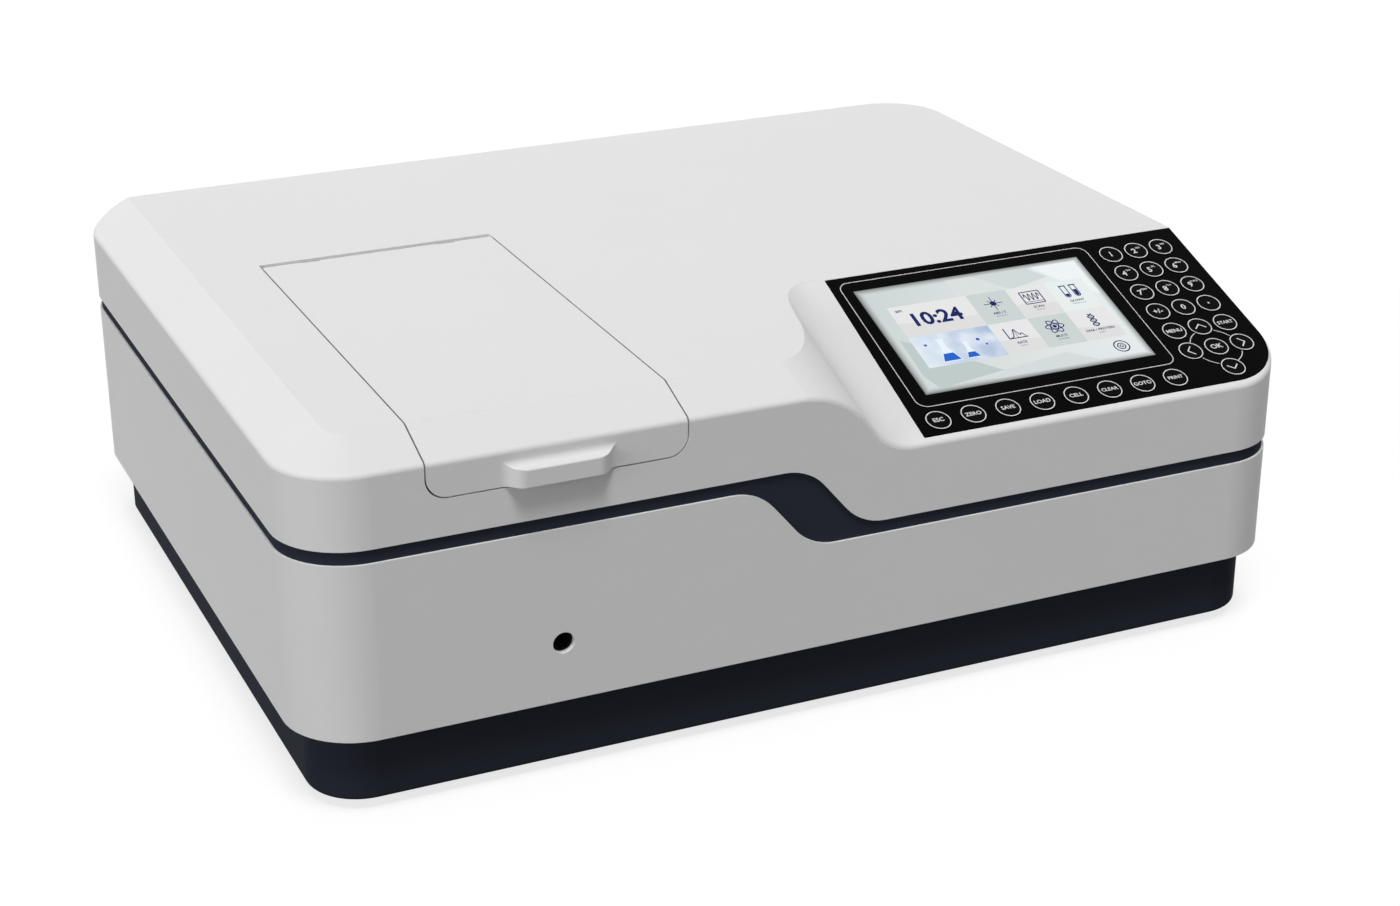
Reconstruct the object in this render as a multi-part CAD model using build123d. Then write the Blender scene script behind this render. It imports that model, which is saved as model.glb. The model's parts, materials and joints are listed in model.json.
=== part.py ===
from build123d import *
from math import cos, hypot, pi, radians, sin, tan
import os

# Bench spectrophotometer, in millimetres.
# The front faces -Y, +X is to the right and +Z is up.
# Heights are measured from the underside of the base tray.
# The feet lift the whole part by their own height.
# A distance "behind the front" runs along +Y from the front face.

# Body
body_width = 600.0
body_depth = 465.0
body_corner_radius = 40.5
body_top = 199.3
wall = 3.5
edge_radius = 3.2

# Base tray and feet
tray_height = 40.3
tray_inset = 10.0
tray_wall = 3.0
tray_edge_radius = 3.0
foot_height = 6.0
foot_radius = 12.0
foot_inset_x = 60.0
foot_inset_y = 60.0
foot_edge = 1.5
bed_pillar_inset = 20.0
housing_flange_width = 18.0
housing_flange_thickness = 3.0

# Seam strip with its S-shaped step
seam_height = 7.8
seam_recess = 1.5
seam_depth = 7.5
seam_left_height = 139.9
seam_right_height = 101.4
seam_step_radius = 31.2
seam_step_angle = 50.0
seam_step_margin = 361.0
seam_cover_shift_x = 30.0

# Top cover: chamfer along the front and the left side, ramp and console slope
chamfer_width = 30.0
chamfer_drop = 10.8
console_front_height = 150.0
console_run = 137.5
ramp_margin = 321.5
ramp_crest_lift = 0.1
ramp_top_radius = 50.0
ramp_top_angle = 46.5
ramp_slope_angle = 52.5
ramp_foot_radius = 32.0

# Sample lid
lid_centre_inset = 141.5
lid_opening_width = 144.0
lid_rear_reach = 29.0
lid_sill_height = 168.1
lid_sill_corner_radius = 12.0
lid_gap = 0.9
lid_rear_gap = 1.2
lid_thickness = 3.0
lid_barrel_radius = 4.5
lid_rear_corner_radius = 1.5
lid_rib_inset = 6.0
lid_rib_thickness = 3.0
lid_rib_clearance = 4.0
handle_width = 58.5
handle_end_run = 6.5
handle_reach = 6.5
handle_lip_height = 10.0
handle_scoop_radius = 4.2
handle_end_radius = 7.0
handle_edge_radius = 0.9
hinge_pin_radius = 1.5
hinge_running_clearance = 0.05
hinge_lug_width = 10.0
hinge_lug_offset = 42.0
hinge_lug_radius = 4.1
hinge_side_clearance = 0.4
hinge_lug_step = 0.5
hinge_pin_end_gap = 0.5
lid_barrel_chamfer = 1.0
opening_wall = 2.5

# Sample well and its seal
well_wall = 2.5
well_width = 107.0
well_front_run = 22.0
motor_rear_gap = 17.5
well_corner_radius = 2.0
seal_width = 5.0
seal_gap = 0.3
port_radius = 6.1
port_height = 74.3
port_tube_wall = 3.0

# Console panel, display and keys, measured along the slope from its front edge
panel_thickness = 2.0
panel_clearance = 0.25
panel_left_front_margin = 244.5
panel_left_rear_margin = 239.0
panel_right_margin = 1.8
panel_front = 4.5
panel_rear = 144.6
panel_corner_radius = 37.0
panel_seat_width = 2.5
console_bar_width = 6.0
display_width = 150.6
display_length = 94.2
display_margin = 226.8
display_front = 37.2
display_clearance = 0.2
display_border = 5.0
display_module_thickness = 8.0
key_radius = 7.6
key_clearance = 0.35
key_proud = 0.4
key_skirt = 0.8
key_edge = 0.3
key_travel = 0.45
key_travel_reserve = 0.05
row_margin = 230.3
row_pitch = 22.08
row_key_count = 8
row_key_run = 15.7
pad_margin = 53.5
pad_pitch_x = 17.75
pad_top_run = 128.3
pad_pitch_run = 18.7
switch_size = 6.0
switch_height = 3.5
board_thickness = 1.6
board_margin = 2.0

# Optical bed and what stands on it
bed_thickness = 8.0
bed_left_inset = 12.0
bed_right_reach = 8.0
bed_front_run = 12.0
bed_rear_clearance = 27.0
motor_size = 28.0
motor_length = 34.0
motor_corner = 3.0

# Cell changer
cell_size = 12.6
cell_pitch = 16.0
cell_count = 5
cell_floor_height = 70.0
cell_beam_rise = 15.0
cell_block_width = 26.0
cell_block_top = 102.0
carriage_width = 88.0
carriage_bottom = 66.0
carriage_deck_height = 82.0
carriage_end_margin = 4.0
carriage_front_clearance = 8.0
guide_rod_radius = 4.0
guide_rod_offset = 36.0
screw_radius = 4.0
screw_offset = 22.0
screw_journal_radius = 2.5
screw_journal_length = 6.0
slide_clearance = 0.05
beam_window_width = 6.0
beam_window_height = 12.0
reference_setback = 36.0
detector_size = 34.0
detector_depth = 30.0
detector_corner = 3.0

# Monochromator
mono_inset = 240.0
mono_width = 170.0
mono_front_run = 175.0
mono_rear_clearance = 28.0
mono_height = 68.0
mono_wall = 5.0
slit_width = 3.0
slit_height = 16.0
entrance_rear_clearance = 85.0
turntable_radius = 26.0
turntable_height = 10.0
turntable_inset = 48.0
turntable_setback = 131.0
pivot_radius = 4.0
grating_size = 32.0
grating_thickness = 9.0
grating_offset = 5.0
mirror_size = 36.0
mirror_thickness = 8.0
mirror_foot_front = 2.0
far_mirror_inset = 24.0
mirror_foot_rear = 6.0
mirror_foot_half_width = 9.0

# Lamp house, lamps, source mirror and filter wheel
lamp_house_inset = 16.0
lamp_house_width = 168.0
lamp_house_rear_clearance = 35.0
lamp_house_length = 108.0
lamp_house_height = 84.0
lamp_house_wall = 2.0
lamp_base_radius = 16.0
lamp_base_height = 10.0
deuterium_radius = 14.0
deuterium_height = 52.0
halogen_radius = 6.5
halogen_height = 30.0
bulb_crown_ratio = 0.8
source_mirror_size = 22.0
source_mirror_plate_width = 17.6
source_mirror_thickness = 3.0
filter_wheel_radius = 22.0
filter_wheel_thickness = 3.0
filter_count = 6
filter_radius = 4.5

# Electronics and rear panel
main_board_margin = 178.0
main_board_width = 90.0
main_board_length = 122.0
main_board_height = 56.0
supply_margin = 172.0
supply_width = 150.0
supply_board_gap = 49.2
supply_length = 110.0
supply_height = 38.0
pillar_radius = 5.0
connector_depth = 16.0
connector_overhang = 0.6
connector_clearance = 0.3
rear_port_sizes = ((13.4, 6.0), (12.0, 10.8), (30.8, 12.4))
rear_port_first = 8.0
rear_port_spacing = 7.0
port_shell = 0.8
port_hollow_depth = 9.0
port_tongue_widths = (9.6, 6.2)
port_tongue_heights = (1.8, 3.2)
port_tongue_setback = 1.0
serial_pin_rows = (5, 4)
serial_pin_pitch = 2.77
serial_pin_row_gap = 2.84
serial_pin_radius = 0.5
serial_pin_length = 6.0
bearing_gap = 0.2
fan_size = 80.0
fan_thickness = 22.0
fan_inset = 100.0
fan_blade_count = 7
fan_hub_radius = 17.0
fan_bore_radius = 37.0
fan_blade_radius = 35.5
fan_blade_pitch = 35.0
fan_blade_thickness = 1.4
fan_blade_chord = 18.0
fan_corner_radius = 5.0
fan_strut_thickness = 3.0
fan_strut_width = 4.0
fan_boss_radius = 14.0
fan_boss_height = 4.0
fan_bearing_gap = 0.3
fan_rotor_setback = 2.0
fan_axle_setback = 3.0
grille_slot_width = 3.0
grille_slot_pitch = 8.0
inlet_margin = 68.0
inlet_seam_gap = 2.4
inlet_socket_width = 24.5
inlet_socket_height = 17.0
inlet_socket_depth = 15.0
inlet_flange_width = 50.0
inlet_bottom_margin = 15.0
inlet_flange_thickness = 2.0
inlet_body_depth = 18.0
inlet_wall = 1.5
inlet_flange_corner = 3.0
inlet_socket_corner = 4.5
inlet_blade_width = 2.0
inlet_blade_height = 4.0
inlet_blade_setback = 2.0
inlet_blade_places = ((-7.0, -1.5), (7.0, -1.5), (0.0, 3.0))
rocker_top_margin = 10.0
rocker_spacing = 24.0
rocker_radius = 9.5
rocker_height = 13.0
rocker_tilt = 8.0
rocker_clearance = 0.3
rocker_depth = 5.2
rocker_pivot_setback = 1.5
rocker_pivot_radius = 1.0

# Smaller fittings
rib_front_run = 9.0
rib_rear_clearance = 10.0
hinge_notch_radius = 4.7
well_flange_thickness = 2.5
beam_hole_radius = 6.0
screw_bearing_size = 12.0
screw_bearing_length = 5.0
bed_corner = 10.0
mono_corner_radius = 8.0
mono_top_chamfer = 2.0
collimator_shift = 12.0
collimator_angle = 8.0
divider_angle = 45.0
divider_gap = 24.0
lamp_inset = 62.0
lamp_spacing = 60.0
source_mirror_inset = 119.0
source_mirror_base_height = 8.0
louvre_count = 5
louvre_rise = 28.0
louvre_half_width = 56.0
filter_wheel_gap = 24.0
filter_orbit = 15.0
filter_pin_radius = 2.0
filter_bracket_thickness = 6.0
filter_bracket_half_width = 6.0
fan_centre_height = 92.0
fan_axle_radius = 2.0
heat_fin_count = 6
heat_fin_pitch = 5.2
heat_fin_thickness = 2.0
heat_fin_height = 9.0
processor_x = 40.0
processor_y = 30.0
processor_size = 28.0
processor_height = 4.0
chip_height = 2.0
small_chips = ((12.0, 16.0, 12.0), (12.0, 46.0, 14.0), (74.0, 20.0, 12.0), (74.0, 50.0, 10.0))
supply_corner = 2.0
supply_vent_margin_x = 20.0
supply_vent_margin_y = 15.0
supply_vent_width = 4.0
supply_vent_depth = 2.0
supply_vent_count = 12
supply_vent_pitch = 9.5
board_left_margin = 249.5
board_right_margin = 8.5
board_bar_margin = 69.2
board_front_run = 7.0
board_row_length = 18.0
board_pad_length = 131.0
board_post_radius = 2.2
board_post_root = 0.5
console_bar_margin = 66.5
console_bar_run = 28.0
board_post_inset = 3.0
board_post_runs = (16.0, 34.0, 120.0)
pad_rows = (
    ("1", "2", "3"),
    ("4", "5", "6"),
    ("7", "8", "9"),
    ("sign", "0", "point"),
    ("menu", "up", "start"),
    ("left", "ok", "right"),
    ("", "down", ""),
)

# Limits for cuts that run past the part
below_all = -10.0
height_reserve = 40.0
above_all = body_top + height_reserve
overrun = 1.0
console_reach = 2.0

# Derived places
front = -body_depth / 2
rear = body_depth / 2
left_side = -body_width / 2
right_side = body_width / 2
seam_step_start_x = right_side - seam_step_margin
ramp_start_x = right_side - ramp_margin
lid_centre_x = left_side + lid_centre_inset
panel_left_front_x = right_side - panel_left_front_margin
panel_left_rear_x = right_side - panel_left_rear_margin
panel_right_x = right_side - panel_right_margin
display_left_x = right_side - display_margin
row_first_x = right_side - row_margin
pad_first_x = right_side - pad_margin
board_left_x = right_side - board_left_margin
board_right_x = right_side - board_right_margin
board_bar_x = right_side - board_bar_margin
console_bar_x = right_side - console_bar_margin
board_posts = (
    (board_left_x + board_post_inset, board_post_runs[0]),
    (console_bar_x, board_post_runs[1]),
    (console_bar_x, board_post_runs[2]),
)
lamp_house_left_x = left_side + lamp_house_inset
lamp_house_right_x = lamp_house_left_x + lamp_house_width
lamp_house_front_run = body_depth - lamp_house_rear_clearance - lamp_house_length
lamp_x = lamp_house_left_x + lamp_inset
source_mirror_x = lamp_house_left_x + source_mirror_inset
filter_wheel_x = lamp_house_right_x + filter_wheel_gap
mono_left_x = left_side + mono_inset
mono_right_x = mono_left_x + mono_width
mono_length = body_depth - mono_rear_clearance - mono_front_run
turntable_x = mono_left_x + turntable_inset
divider_x = mono_left_x - divider_gap
bed_left_x = left_side + bed_left_inset
bed_right_x = mono_right_x + bed_right_reach
bed_rear_run = body_depth - bed_rear_clearance
main_board_left_x = right_side - main_board_margin
supply_left_x = right_side - supply_margin
fan_centre_x = left_side + fan_inset
inlet_centre_x = right_side - inlet_margin
inlet_flange_top = seam_right_height - inlet_seam_gap
rocker_centre_height = inlet_flange_top - rocker_top_margin
inlet_centre_height = rocker_centre_height - rocker_spacing
inlet_flange_bottom = inlet_centre_height - inlet_bottom_margin
motor_front_run = lamp_house_front_run - motor_rear_gap - motor_length
well_length = motor_front_run - well_wall - well_front_run
lid_opening_run = well_front_run + well_length + lid_rear_reach
seam_right_cover = seam_right_height + seam_height
seam_left_cover = seam_left_height + seam_height
console_rise = body_top - console_front_height
console_length = hypot(console_run, console_rise)
chamfer_edge_height = body_top - chamfer_drop
bed_top = port_height - motor_size / 2
bed_bottom = bed_top - bed_thickness
beam_height = cell_floor_height + cell_beam_rise
hinge_y = front + lid_opening_run - lid_rear_gap - lid_barrel_radius
hinge_height = body_top - lid_barrel_radius
lid_bottom = lid_sill_height + lid_gap
lid_rib_bottom = lid_sill_height + lid_rib_clearance
opening_left = lid_centre_x - lid_opening_width / 2
opening_right = lid_centre_x + lid_opening_width / 2
lid_left = opening_left + lid_gap
lid_right = opening_right - lid_gap
opening_rear = front + lid_opening_run
well_left = lid_centre_x - well_width / 2
well_right = lid_centre_x + well_width / 2
well_front = front + well_front_run
well_rear = well_front + well_length
reference_beam_y = well_rear - reference_setback
carriage_front = well_front + carriage_front_clearance
carriage_length = cell_count * cell_pitch + 2 * carriage_end_margin
cell_first_y = carriage_front + carriage_end_margin + cell_pitch / 2
sample_beam_y = cell_first_y + (cell_count - 1) * cell_pitch
well_floor = bed_top + well_wall
flange_low = lid_sill_height - well_flange_thickness
screw_x = lid_centre_x + screw_offset
entrance_y = rear - entrance_rear_clearance
turntable_y = rear - mono_rear_clearance - turntable_setback
filter_wheel_y = entrance_y - filter_orbit
board_front = rear - wall - connector_clearance - main_board_length
supply_front = board_front - supply_board_gap - supply_length
rocker_pivot_y = rear - rocker_pivot_setback
console = Plane(
    origin=(0, front, console_front_height),
    x_dir=(1, 0, 0),
    z_dir=(0, -console_rise, console_run),
)


def behind(distance):
    """Y of a point that lies the given distance behind the front face."""
    return front + distance


def block(x_low, x_high, y_low, y_high, z_low, z_high):
    """Box given by its limits along each axis."""
    return Pos(x_low, y_low, z_low) * Box(
        x_high - x_low, y_high - y_low, z_high - z_low, align=(Align.MIN, Align.MIN, Align.MIN)
    )


def rod_y(radius, x, z, y_low, y_high):
    """Round bar along Y."""
    bar = Cylinder(radius, y_high - y_low, align=(Align.CENTER, Align.CENTER, Align.MIN))
    return Pos(x, y_low, z) * Rot(X=-90) * bar


def rod_x(radius, y, z, x_low, x_high):
    """Round bar along X."""
    bar = Cylinder(radius, x_high - x_low, align=(Align.CENTER, Align.CENTER, Align.MIN))
    return Pos(x_low, y, z) * Rot(Y=90) * bar


def rod_z(radius, x, y, z_low, z_high):
    """Round upright post."""
    return Pos(x, y, z_low) * Cylinder(radius, z_high - z_low, align=(Align.CENTER, Align.CENTER, Align.MIN))


def body_slab(inset, z_low, z_high, corner=body_corner_radius):
    """The body's plan outline, inset all round, between two heights."""
    face = RectangleRounded(body_width - 2 * inset, body_depth - 2 * inset, corner - inset)
    return extrude(Pos(0, 0, z_low) * face, z_high - z_low)


def upright_prism(face, y_low, y_high):
    """Extrude a face drawn in X and Z along Y between two limits."""
    placed = Plane(origin=(0, y_high, 0), x_dir=(1, 0, 0), z_dir=(0, -1, 0)) * face
    return extrude(placed, y_high - y_low)


def arc_down(x, z, radius, angle):
    """Crest arc that starts level and turns down to the right by the angle, and its end."""
    mid = radians(angle / 2)
    end = radians(angle)
    middle_point = (x + radius * sin(mid), z - radius * (1 - cos(mid)))
    end_point = (x + radius * sin(end), z - radius * (1 - cos(end)))
    return ThreePointArc((x, z), middle_point, end_point), end_point


def arc_level(x, z, radius, angle):
    """Start of a foot arc that comes down at the angle and ends level at the point, and the arc."""
    mid = radians(angle / 2)
    start = radians(angle)
    start_point = (x - radius * sin(start), z + radius * (1 - cos(start)))
    middle_point = (x - radius * sin(mid), z + radius * (1 - cos(mid)))
    return start_point, ThreePointArc(start_point, middle_point, (x, z))


def seam_profile(x_start, z_left, z_right):
    """Face below the S-shaped seam line, drawn in X and Z."""
    drop = z_left - z_right
    crest, crest_end = arc_down(x_start, z_left, seam_step_radius, seam_step_angle)
    arcs_drop = 2 * seam_step_radius * (1 - cos(radians(seam_step_angle)))
    slope_run = (drop - arcs_drop) / tan(radians(seam_step_angle))
    x_end = x_start + 2 * seam_step_radius * sin(radians(seam_step_angle)) + slope_run
    foot_start, foot = arc_level(x_end, z_right, seam_step_radius, seam_step_angle)
    far = body_width
    edges = [
        crest,
        Line(crest_end, foot_start),
        foot,
        Polyline(
            (x_end, z_right),
            (far, z_right),
            (far, below_all),
            (-far, below_all),
            (-far, z_left),
            (x_start, z_left),
        ),
    ]
    return make_face(Curve() + edges)


def below_housing_seam():
    """Everything under the seam strip's lower face."""
    face = seam_profile(seam_step_start_x, seam_left_height, seam_right_height)
    return upright_prism(face, -body_depth, body_depth)


def below_cover_seam():
    """Everything under the seam strip's upper face."""
    start = seam_step_start_x + seam_cover_shift_x
    face = seam_profile(start, seam_left_cover, seam_right_cover)
    return upright_prism(face, -body_depth, body_depth)


def chamfer_limit(drop):
    """Space under the flat top and the two chamfers, which meet in a cone round the front left corner."""
    spread = 2 * body_width
    sections = []
    for step in (-1, 1):
        inset = chamfer_width * step
        size_x = spread - inset
        size_y = spread - inset
        corner = body_corner_radius - inset
        outline = Rectangle(size_x, size_y, align=(Align.MIN, Align.MIN))
        outline = fillet(outline.vertices().sort_by(lambda v: v.X + v.Y)[0], corner)
        height = chamfer_edge_height - drop + (chamfer_drop if step > 0 else -chamfer_drop)
        sections.append(Pos(-body_width / 2 + inset, front + inset, height) * outline)
    roof = loft(sections, ruled=True)
    skirt_top = chamfer_edge_height - drop - chamfer_drop
    skirt = extrude(Pos(0, 0, below_all - skirt_top) * sections[0], skirt_top - below_all)
    return roof + skirt


def console_cut(drop):
    """Space above the ramp and the console: one S profile carried back along the console's slope."""
    left = ramp_start_x
    z_top = chamfer_edge_height + ramp_crest_lift - drop
    z_foot = console_front_height - drop
    crest, crest_end = arc_down(left, z_top, ramp_top_radius, ramp_top_angle)
    foot_drop = ramp_foot_radius * (1 - cos(radians(ramp_slope_angle)))
    slope_drop = crest_end[1] - z_foot - foot_drop
    slope_run = slope_drop / tan(radians(ramp_slope_angle))
    x_foot = crest_end[0] + slope_run + ramp_foot_radius * sin(radians(ramp_slope_angle))
    foot_start, foot = arc_level(x_foot, z_foot, ramp_foot_radius, ramp_slope_angle)
    far = body_width
    high = above_all + console_rise
    edges = [
        crest,
        Line(crest_end, foot_start),
        foot,
        Polyline((x_foot, z_foot), (far, z_foot), (far, high), (left, high), (left, z_top)),
    ]
    face = make_face(Curve() + edges)
    start_y = front - console_reach * console_run
    start_z = -console_reach * console_rise
    placed = Plane(origin=(0, start_y, start_z), x_dir=(1, 0, 0), z_dir=(0, -1, 0)) * face
    return extrude(placed, (2 * console_reach + 1) * console_length, dir=(0, console_run, console_rise))


def cover_form(inset, drop):
    """The cover's solid form above the seam: inset from the sides and lowered from the top."""
    form = body_slab(inset, seam_right_height, body_top - drop)
    form = form & chamfer_limit(drop)
    return form - console_cut(drop)


def on_side(point):
    """Whether a point lies on the body's upright side surface."""
    dx = max(abs(point.X) - body_width / 2 + body_corner_radius, 0)
    dy = max(abs(point.Y) - body_depth / 2 + body_corner_radius, 0)
    return abs(hypot(dx, dy) - body_corner_radius) < 0.01


def is_top_edge(edge):
    """Whether an edge runs along the side surface at the cover's upper rim."""
    above_seam = edge.bounding_box().min.Z > console_front_height - edge_radius
    return above_seam and all(on_side(edge @ t) for t in (0.1, 0.5, 0.9))


def outer_form():
    """The cover's outside with its whole upper rim rounded, before the lid is cut out of it."""
    form = cover_form(0, 0)
    return fillet([e for e in form.edges() if is_top_edge(e)], edge_radius)


cover_outside = outer_form()


def lid_shape(side_gap, rear_y, bottom, corner):
    """Prism of the lid or its opening: plan outline crossed with the front view's rounded lower corners."""
    left = opening_left + side_gap
    right = opening_right - side_gap
    plan = block(left, right, front - body_corner_radius, rear_y, bottom, above_all)
    rear_corners = [e for e in plan.edges().filter_by(Axis.Z) if (e @ 0.5).Y > 0]
    plan = fillet(rear_corners, lid_rear_corner_radius)
    view = Rectangle(right - left, above_all - bottom, align=(Align.MIN, Align.MIN))
    lower_corners = view.vertices().group_by(Axis.Y)[0]
    view = Pos(left, bottom) * fillet(lower_corners, corner)
    return plan & upright_prism(view, front - body_corner_radius, rear_y)


def base_tray():
    """Open tray with pillars for the bed and the main board."""
    outside = body_slab(tray_inset, 0, tray_height)
    outside = fillet(outside.edges().group_by(Axis.Z)[0], tray_edge_radius)
    tray = outside - body_slab(tray_inset + tray_wall, tray_wall, tray_height + overrun)
    bed_y = (behind(bed_front_run + bed_pillar_inset), 0, behind(bed_rear_run - bed_pillar_inset))
    for x in (bed_left_x + bed_pillar_inset + tray_inset, bed_right_x - bed_pillar_inset):
        for y in bed_y:
            tray += rod_z(pillar_radius, x, y, tray_wall - overrun, bed_bottom)
    board_rear = board_front + main_board_length - connector_depth
    for x in (main_board_left_x + pillar_radius, main_board_left_x + main_board_width - pillar_radius):
        for y in (board_front + pillar_radius, board_rear - pillar_radius):
            tray += rod_z(pillar_radius, x, y, tray_wall - overrun, main_board_height)
    return tray


def rubber_feet():
    """Four feet under the tray."""
    feet = []
    for side in (-1, 1):
        for end in (-1, 1):
            x = side * (body_width / 2 - foot_inset_x)
            y = end * (body_depth / 2 - foot_inset_y)
            foot = rod_z(foot_radius, x, y, -foot_height, 0)
            feet.append(chamfer(foot.edges().group_by(Axis.Z)[0], foot_edge))
    return feet


def connector_boxes(gap):
    """Rear sockets of the main board: a host port, a device port and a nine-way serial port."""
    floor = main_board_height + board_thickness
    boxes = []
    x = main_board_left_x + rear_port_first
    y_low = rear - wall - connector_depth
    y_high = rear + connector_overhang + abs(gap)
    for width, height in rear_port_sizes:
        boxes.append(block(x - gap, x + width + gap, y_low, y_high, floor - gap, floor + height + gap))
        x += width + rear_port_spacing
    return boxes


def port_fittings():
    """Tongues in the host and device ports and two rows of pins in the serial port."""
    mouth = rear + connector_overhang
    floor = mouth - port_hollow_depth - port_shell
    fittings = []
    middles = [box.center() for box in connector_boxes(0)]
    for middle, width, height in zip(middles, port_tongue_widths, port_tongue_heights):
        tongue = block(
            middle.X - width / 2,
            middle.X + width / 2,
            floor,
            mouth - port_tongue_setback,
            middle.Z - height / 2,
            middle.Z + height / 2,
        )
        fittings.append(tongue)
    serial = middles[-1]
    for row, count in enumerate(serial_pin_rows):
        z = serial.Z + (0.5 - row) * serial_pin_row_gap
        for index in range(count):
            x = serial.X + (index - (count - 1) / 2) * serial_pin_pitch
            fittings.append(rod_y(serial_pin_radius, x, z, floor, floor + serial_pin_length))
    return fittings


def lower_housing():
    """Open-topped grey housing with an S-shaped upper edge, an inner flange and its openings."""
    outside = body_slab(0, tray_height, seam_left_height + overrun) & below_housing_seam()
    shell = outside - body_slab(wall, tray_height + housing_flange_thickness, seam_left_height + 2 * overrun)
    shell -= body_slab(housing_flange_width, tray_height - overrun, seam_left_height)
    shell -= rod_y(port_radius, lid_centre_x, port_height, front - overrun, front + wall + overrun)
    shell -= grille_slots()
    for opening in connector_boxes(connector_clearance):
        shell -= opening
    inlet_half = inlet_socket_width / 2 + inlet_wall + connector_clearance
    low = inlet_centre_height - inlet_socket_height / 2 - inlet_wall - connector_clearance
    high = rocker_centre_height + rocker_height / 2 + rocker_clearance + inlet_wall + connector_clearance
    left = inlet_centre_x - inlet_half
    right = inlet_centre_x + inlet_half
    shell -= block(left, right, rear - wall - overrun, rear + overrun, low, high)
    return shell


def grille_slots():
    """Level slots in the rear wall that fill the fan's circle."""
    slots = []
    count = int(2 * fan_bore_radius / grille_slot_pitch)
    for index in range(count):
        rise = (index - (count - 1) / 2) * grille_slot_pitch
        half = (fan_bore_radius**2 - rise**2) ** 0.5 - grille_slot_width
        low = fan_centre_height + rise - grille_slot_width / 2
        slot = block(-half, half, rear - wall - overrun, rear + overrun, low, low + grille_slot_width)
        slots.append(Pos(fan_centre_x, 0, 0) * slot)
    return slots


def seam_strip():
    """Dark strip between housing and cover, set back from their faces."""
    ring = body_slab(seam_recess, seam_right_height - overrun, seam_left_cover + overrun)
    ring -= body_slab(
        seam_recess + seam_depth, seam_right_height - 2 * overrun, seam_left_cover + 2 * overrun
    )
    return (ring & below_cover_seam()) - below_housing_seam()


def panel_face(grow):
    """Outline of the key panel on the console, grown or shrunk all round."""
    outline = Polyline(
        (panel_left_front_x, panel_front),
        (panel_right_x, panel_front),
        (panel_right_x, panel_rear),
        (panel_left_rear_x, panel_rear),
        close=True,
    )
    face = make_face(outline)
    corner = face.vertices().sort_by(lambda v: v.X - v.Y)[-1]
    return offset(fillet(corner, panel_corner_radius), grow, kind=Kind.INTERSECTION)


def console_plate(face, depth_from, depth_to):
    """Plate parallel to the console, between two depths below its surface."""
    return console * extrude(Pos(0, 0, -depth_to) * face, depth_to - depth_from)


def console_block(x_low, x_high, run_low, run_high, depth_from, depth_to):
    """Box parallel to the console."""
    return console * block(x_low, x_high, run_low, run_high, -depth_to, -depth_from)


def key_places():
    """Name and place of each key on the console."""
    places = []
    for index in range(row_key_count):
        places.append((f"row_key_{index + 1}", row_first_x + index * row_pitch, row_key_run))
    for line, names in enumerate(pad_rows):
        for column, name in enumerate(names):
            if name:
                x = pad_first_x + column * pad_pitch_x
                places.append((f"pad_key_{name}", x, pad_top_run - line * pad_pitch_run))
    return places


def key_cap(x, run):
    """Low round key with a softened rim."""
    height = key_proud + panel_thickness + key_skirt
    cap = Cylinder(key_radius, height, align=(Align.CENTER, Align.CENTER, Align.MAX))
    cap = chamfer(cap.edges().group_by(Axis.Z)[-1], key_edge)
    return console * (Pos(x, run, key_proud) * cap)


def key_panel():
    """Black panel with the display window and a round hole for each key."""
    face = panel_face(0)
    window = Rectangle(display_width + 2 * display_clearance, display_length + 2 * display_clearance)
    face -= Pos(display_left_x + display_width / 2, display_front + display_length / 2) * window
    for _, x, run in key_places():
        face -= Pos(x, run) * Circle(key_radius + key_clearance)
    return console_plate(face, 0, panel_thickness)


def screen_glass():
    """Display window, flush with the panel."""
    centre = Pos(display_left_x + display_width / 2, display_front + display_length / 2)
    return console_plate(centre * Rectangle(display_width, display_length), 0, panel_thickness)


def display_module():
    """Display behind the glass, held against the panel's back."""
    return console_block(
        display_left_x - display_border,
        display_left_x + display_width + display_border,
        display_front - display_border,
        display_front + display_length + display_border,
        panel_thickness,
        panel_thickness + display_module_thickness,
    )


def key_board():
    """Circuit board under the keys with one switch for each of them."""
    board_low = panel_thickness + key_skirt + key_travel + key_travel_reserve + switch_height
    row = Pos(board_left_x, board_front_run) * Rectangle(
        board_right_x - board_left_x, board_row_length, align=(Align.MIN, Align.MIN)
    )
    pad = Pos(board_bar_x, board_front_run) * Rectangle(
        board_right_x - board_bar_x, board_pad_length, align=(Align.MIN, Align.MIN)
    )
    face = row + pad
    face = fillet(face.vertices().sort_by(lambda v: v.X - v.Y)[-1], panel_corner_radius - board_margin)
    board = console_plate(face, board_low, board_low + board_thickness)
    half = switch_size / 2
    for _, x, run in key_places():
        switch_low = board_low - switch_height
        board += console_block(x - half, x + half, run - half, run + half, switch_low, board_low)
    return board


def hinge_lug_centres():
    """X of each hinge lug's middle."""
    return (lid_centre_x - hinge_lug_offset, lid_centre_x + hinge_lug_offset)


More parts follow.
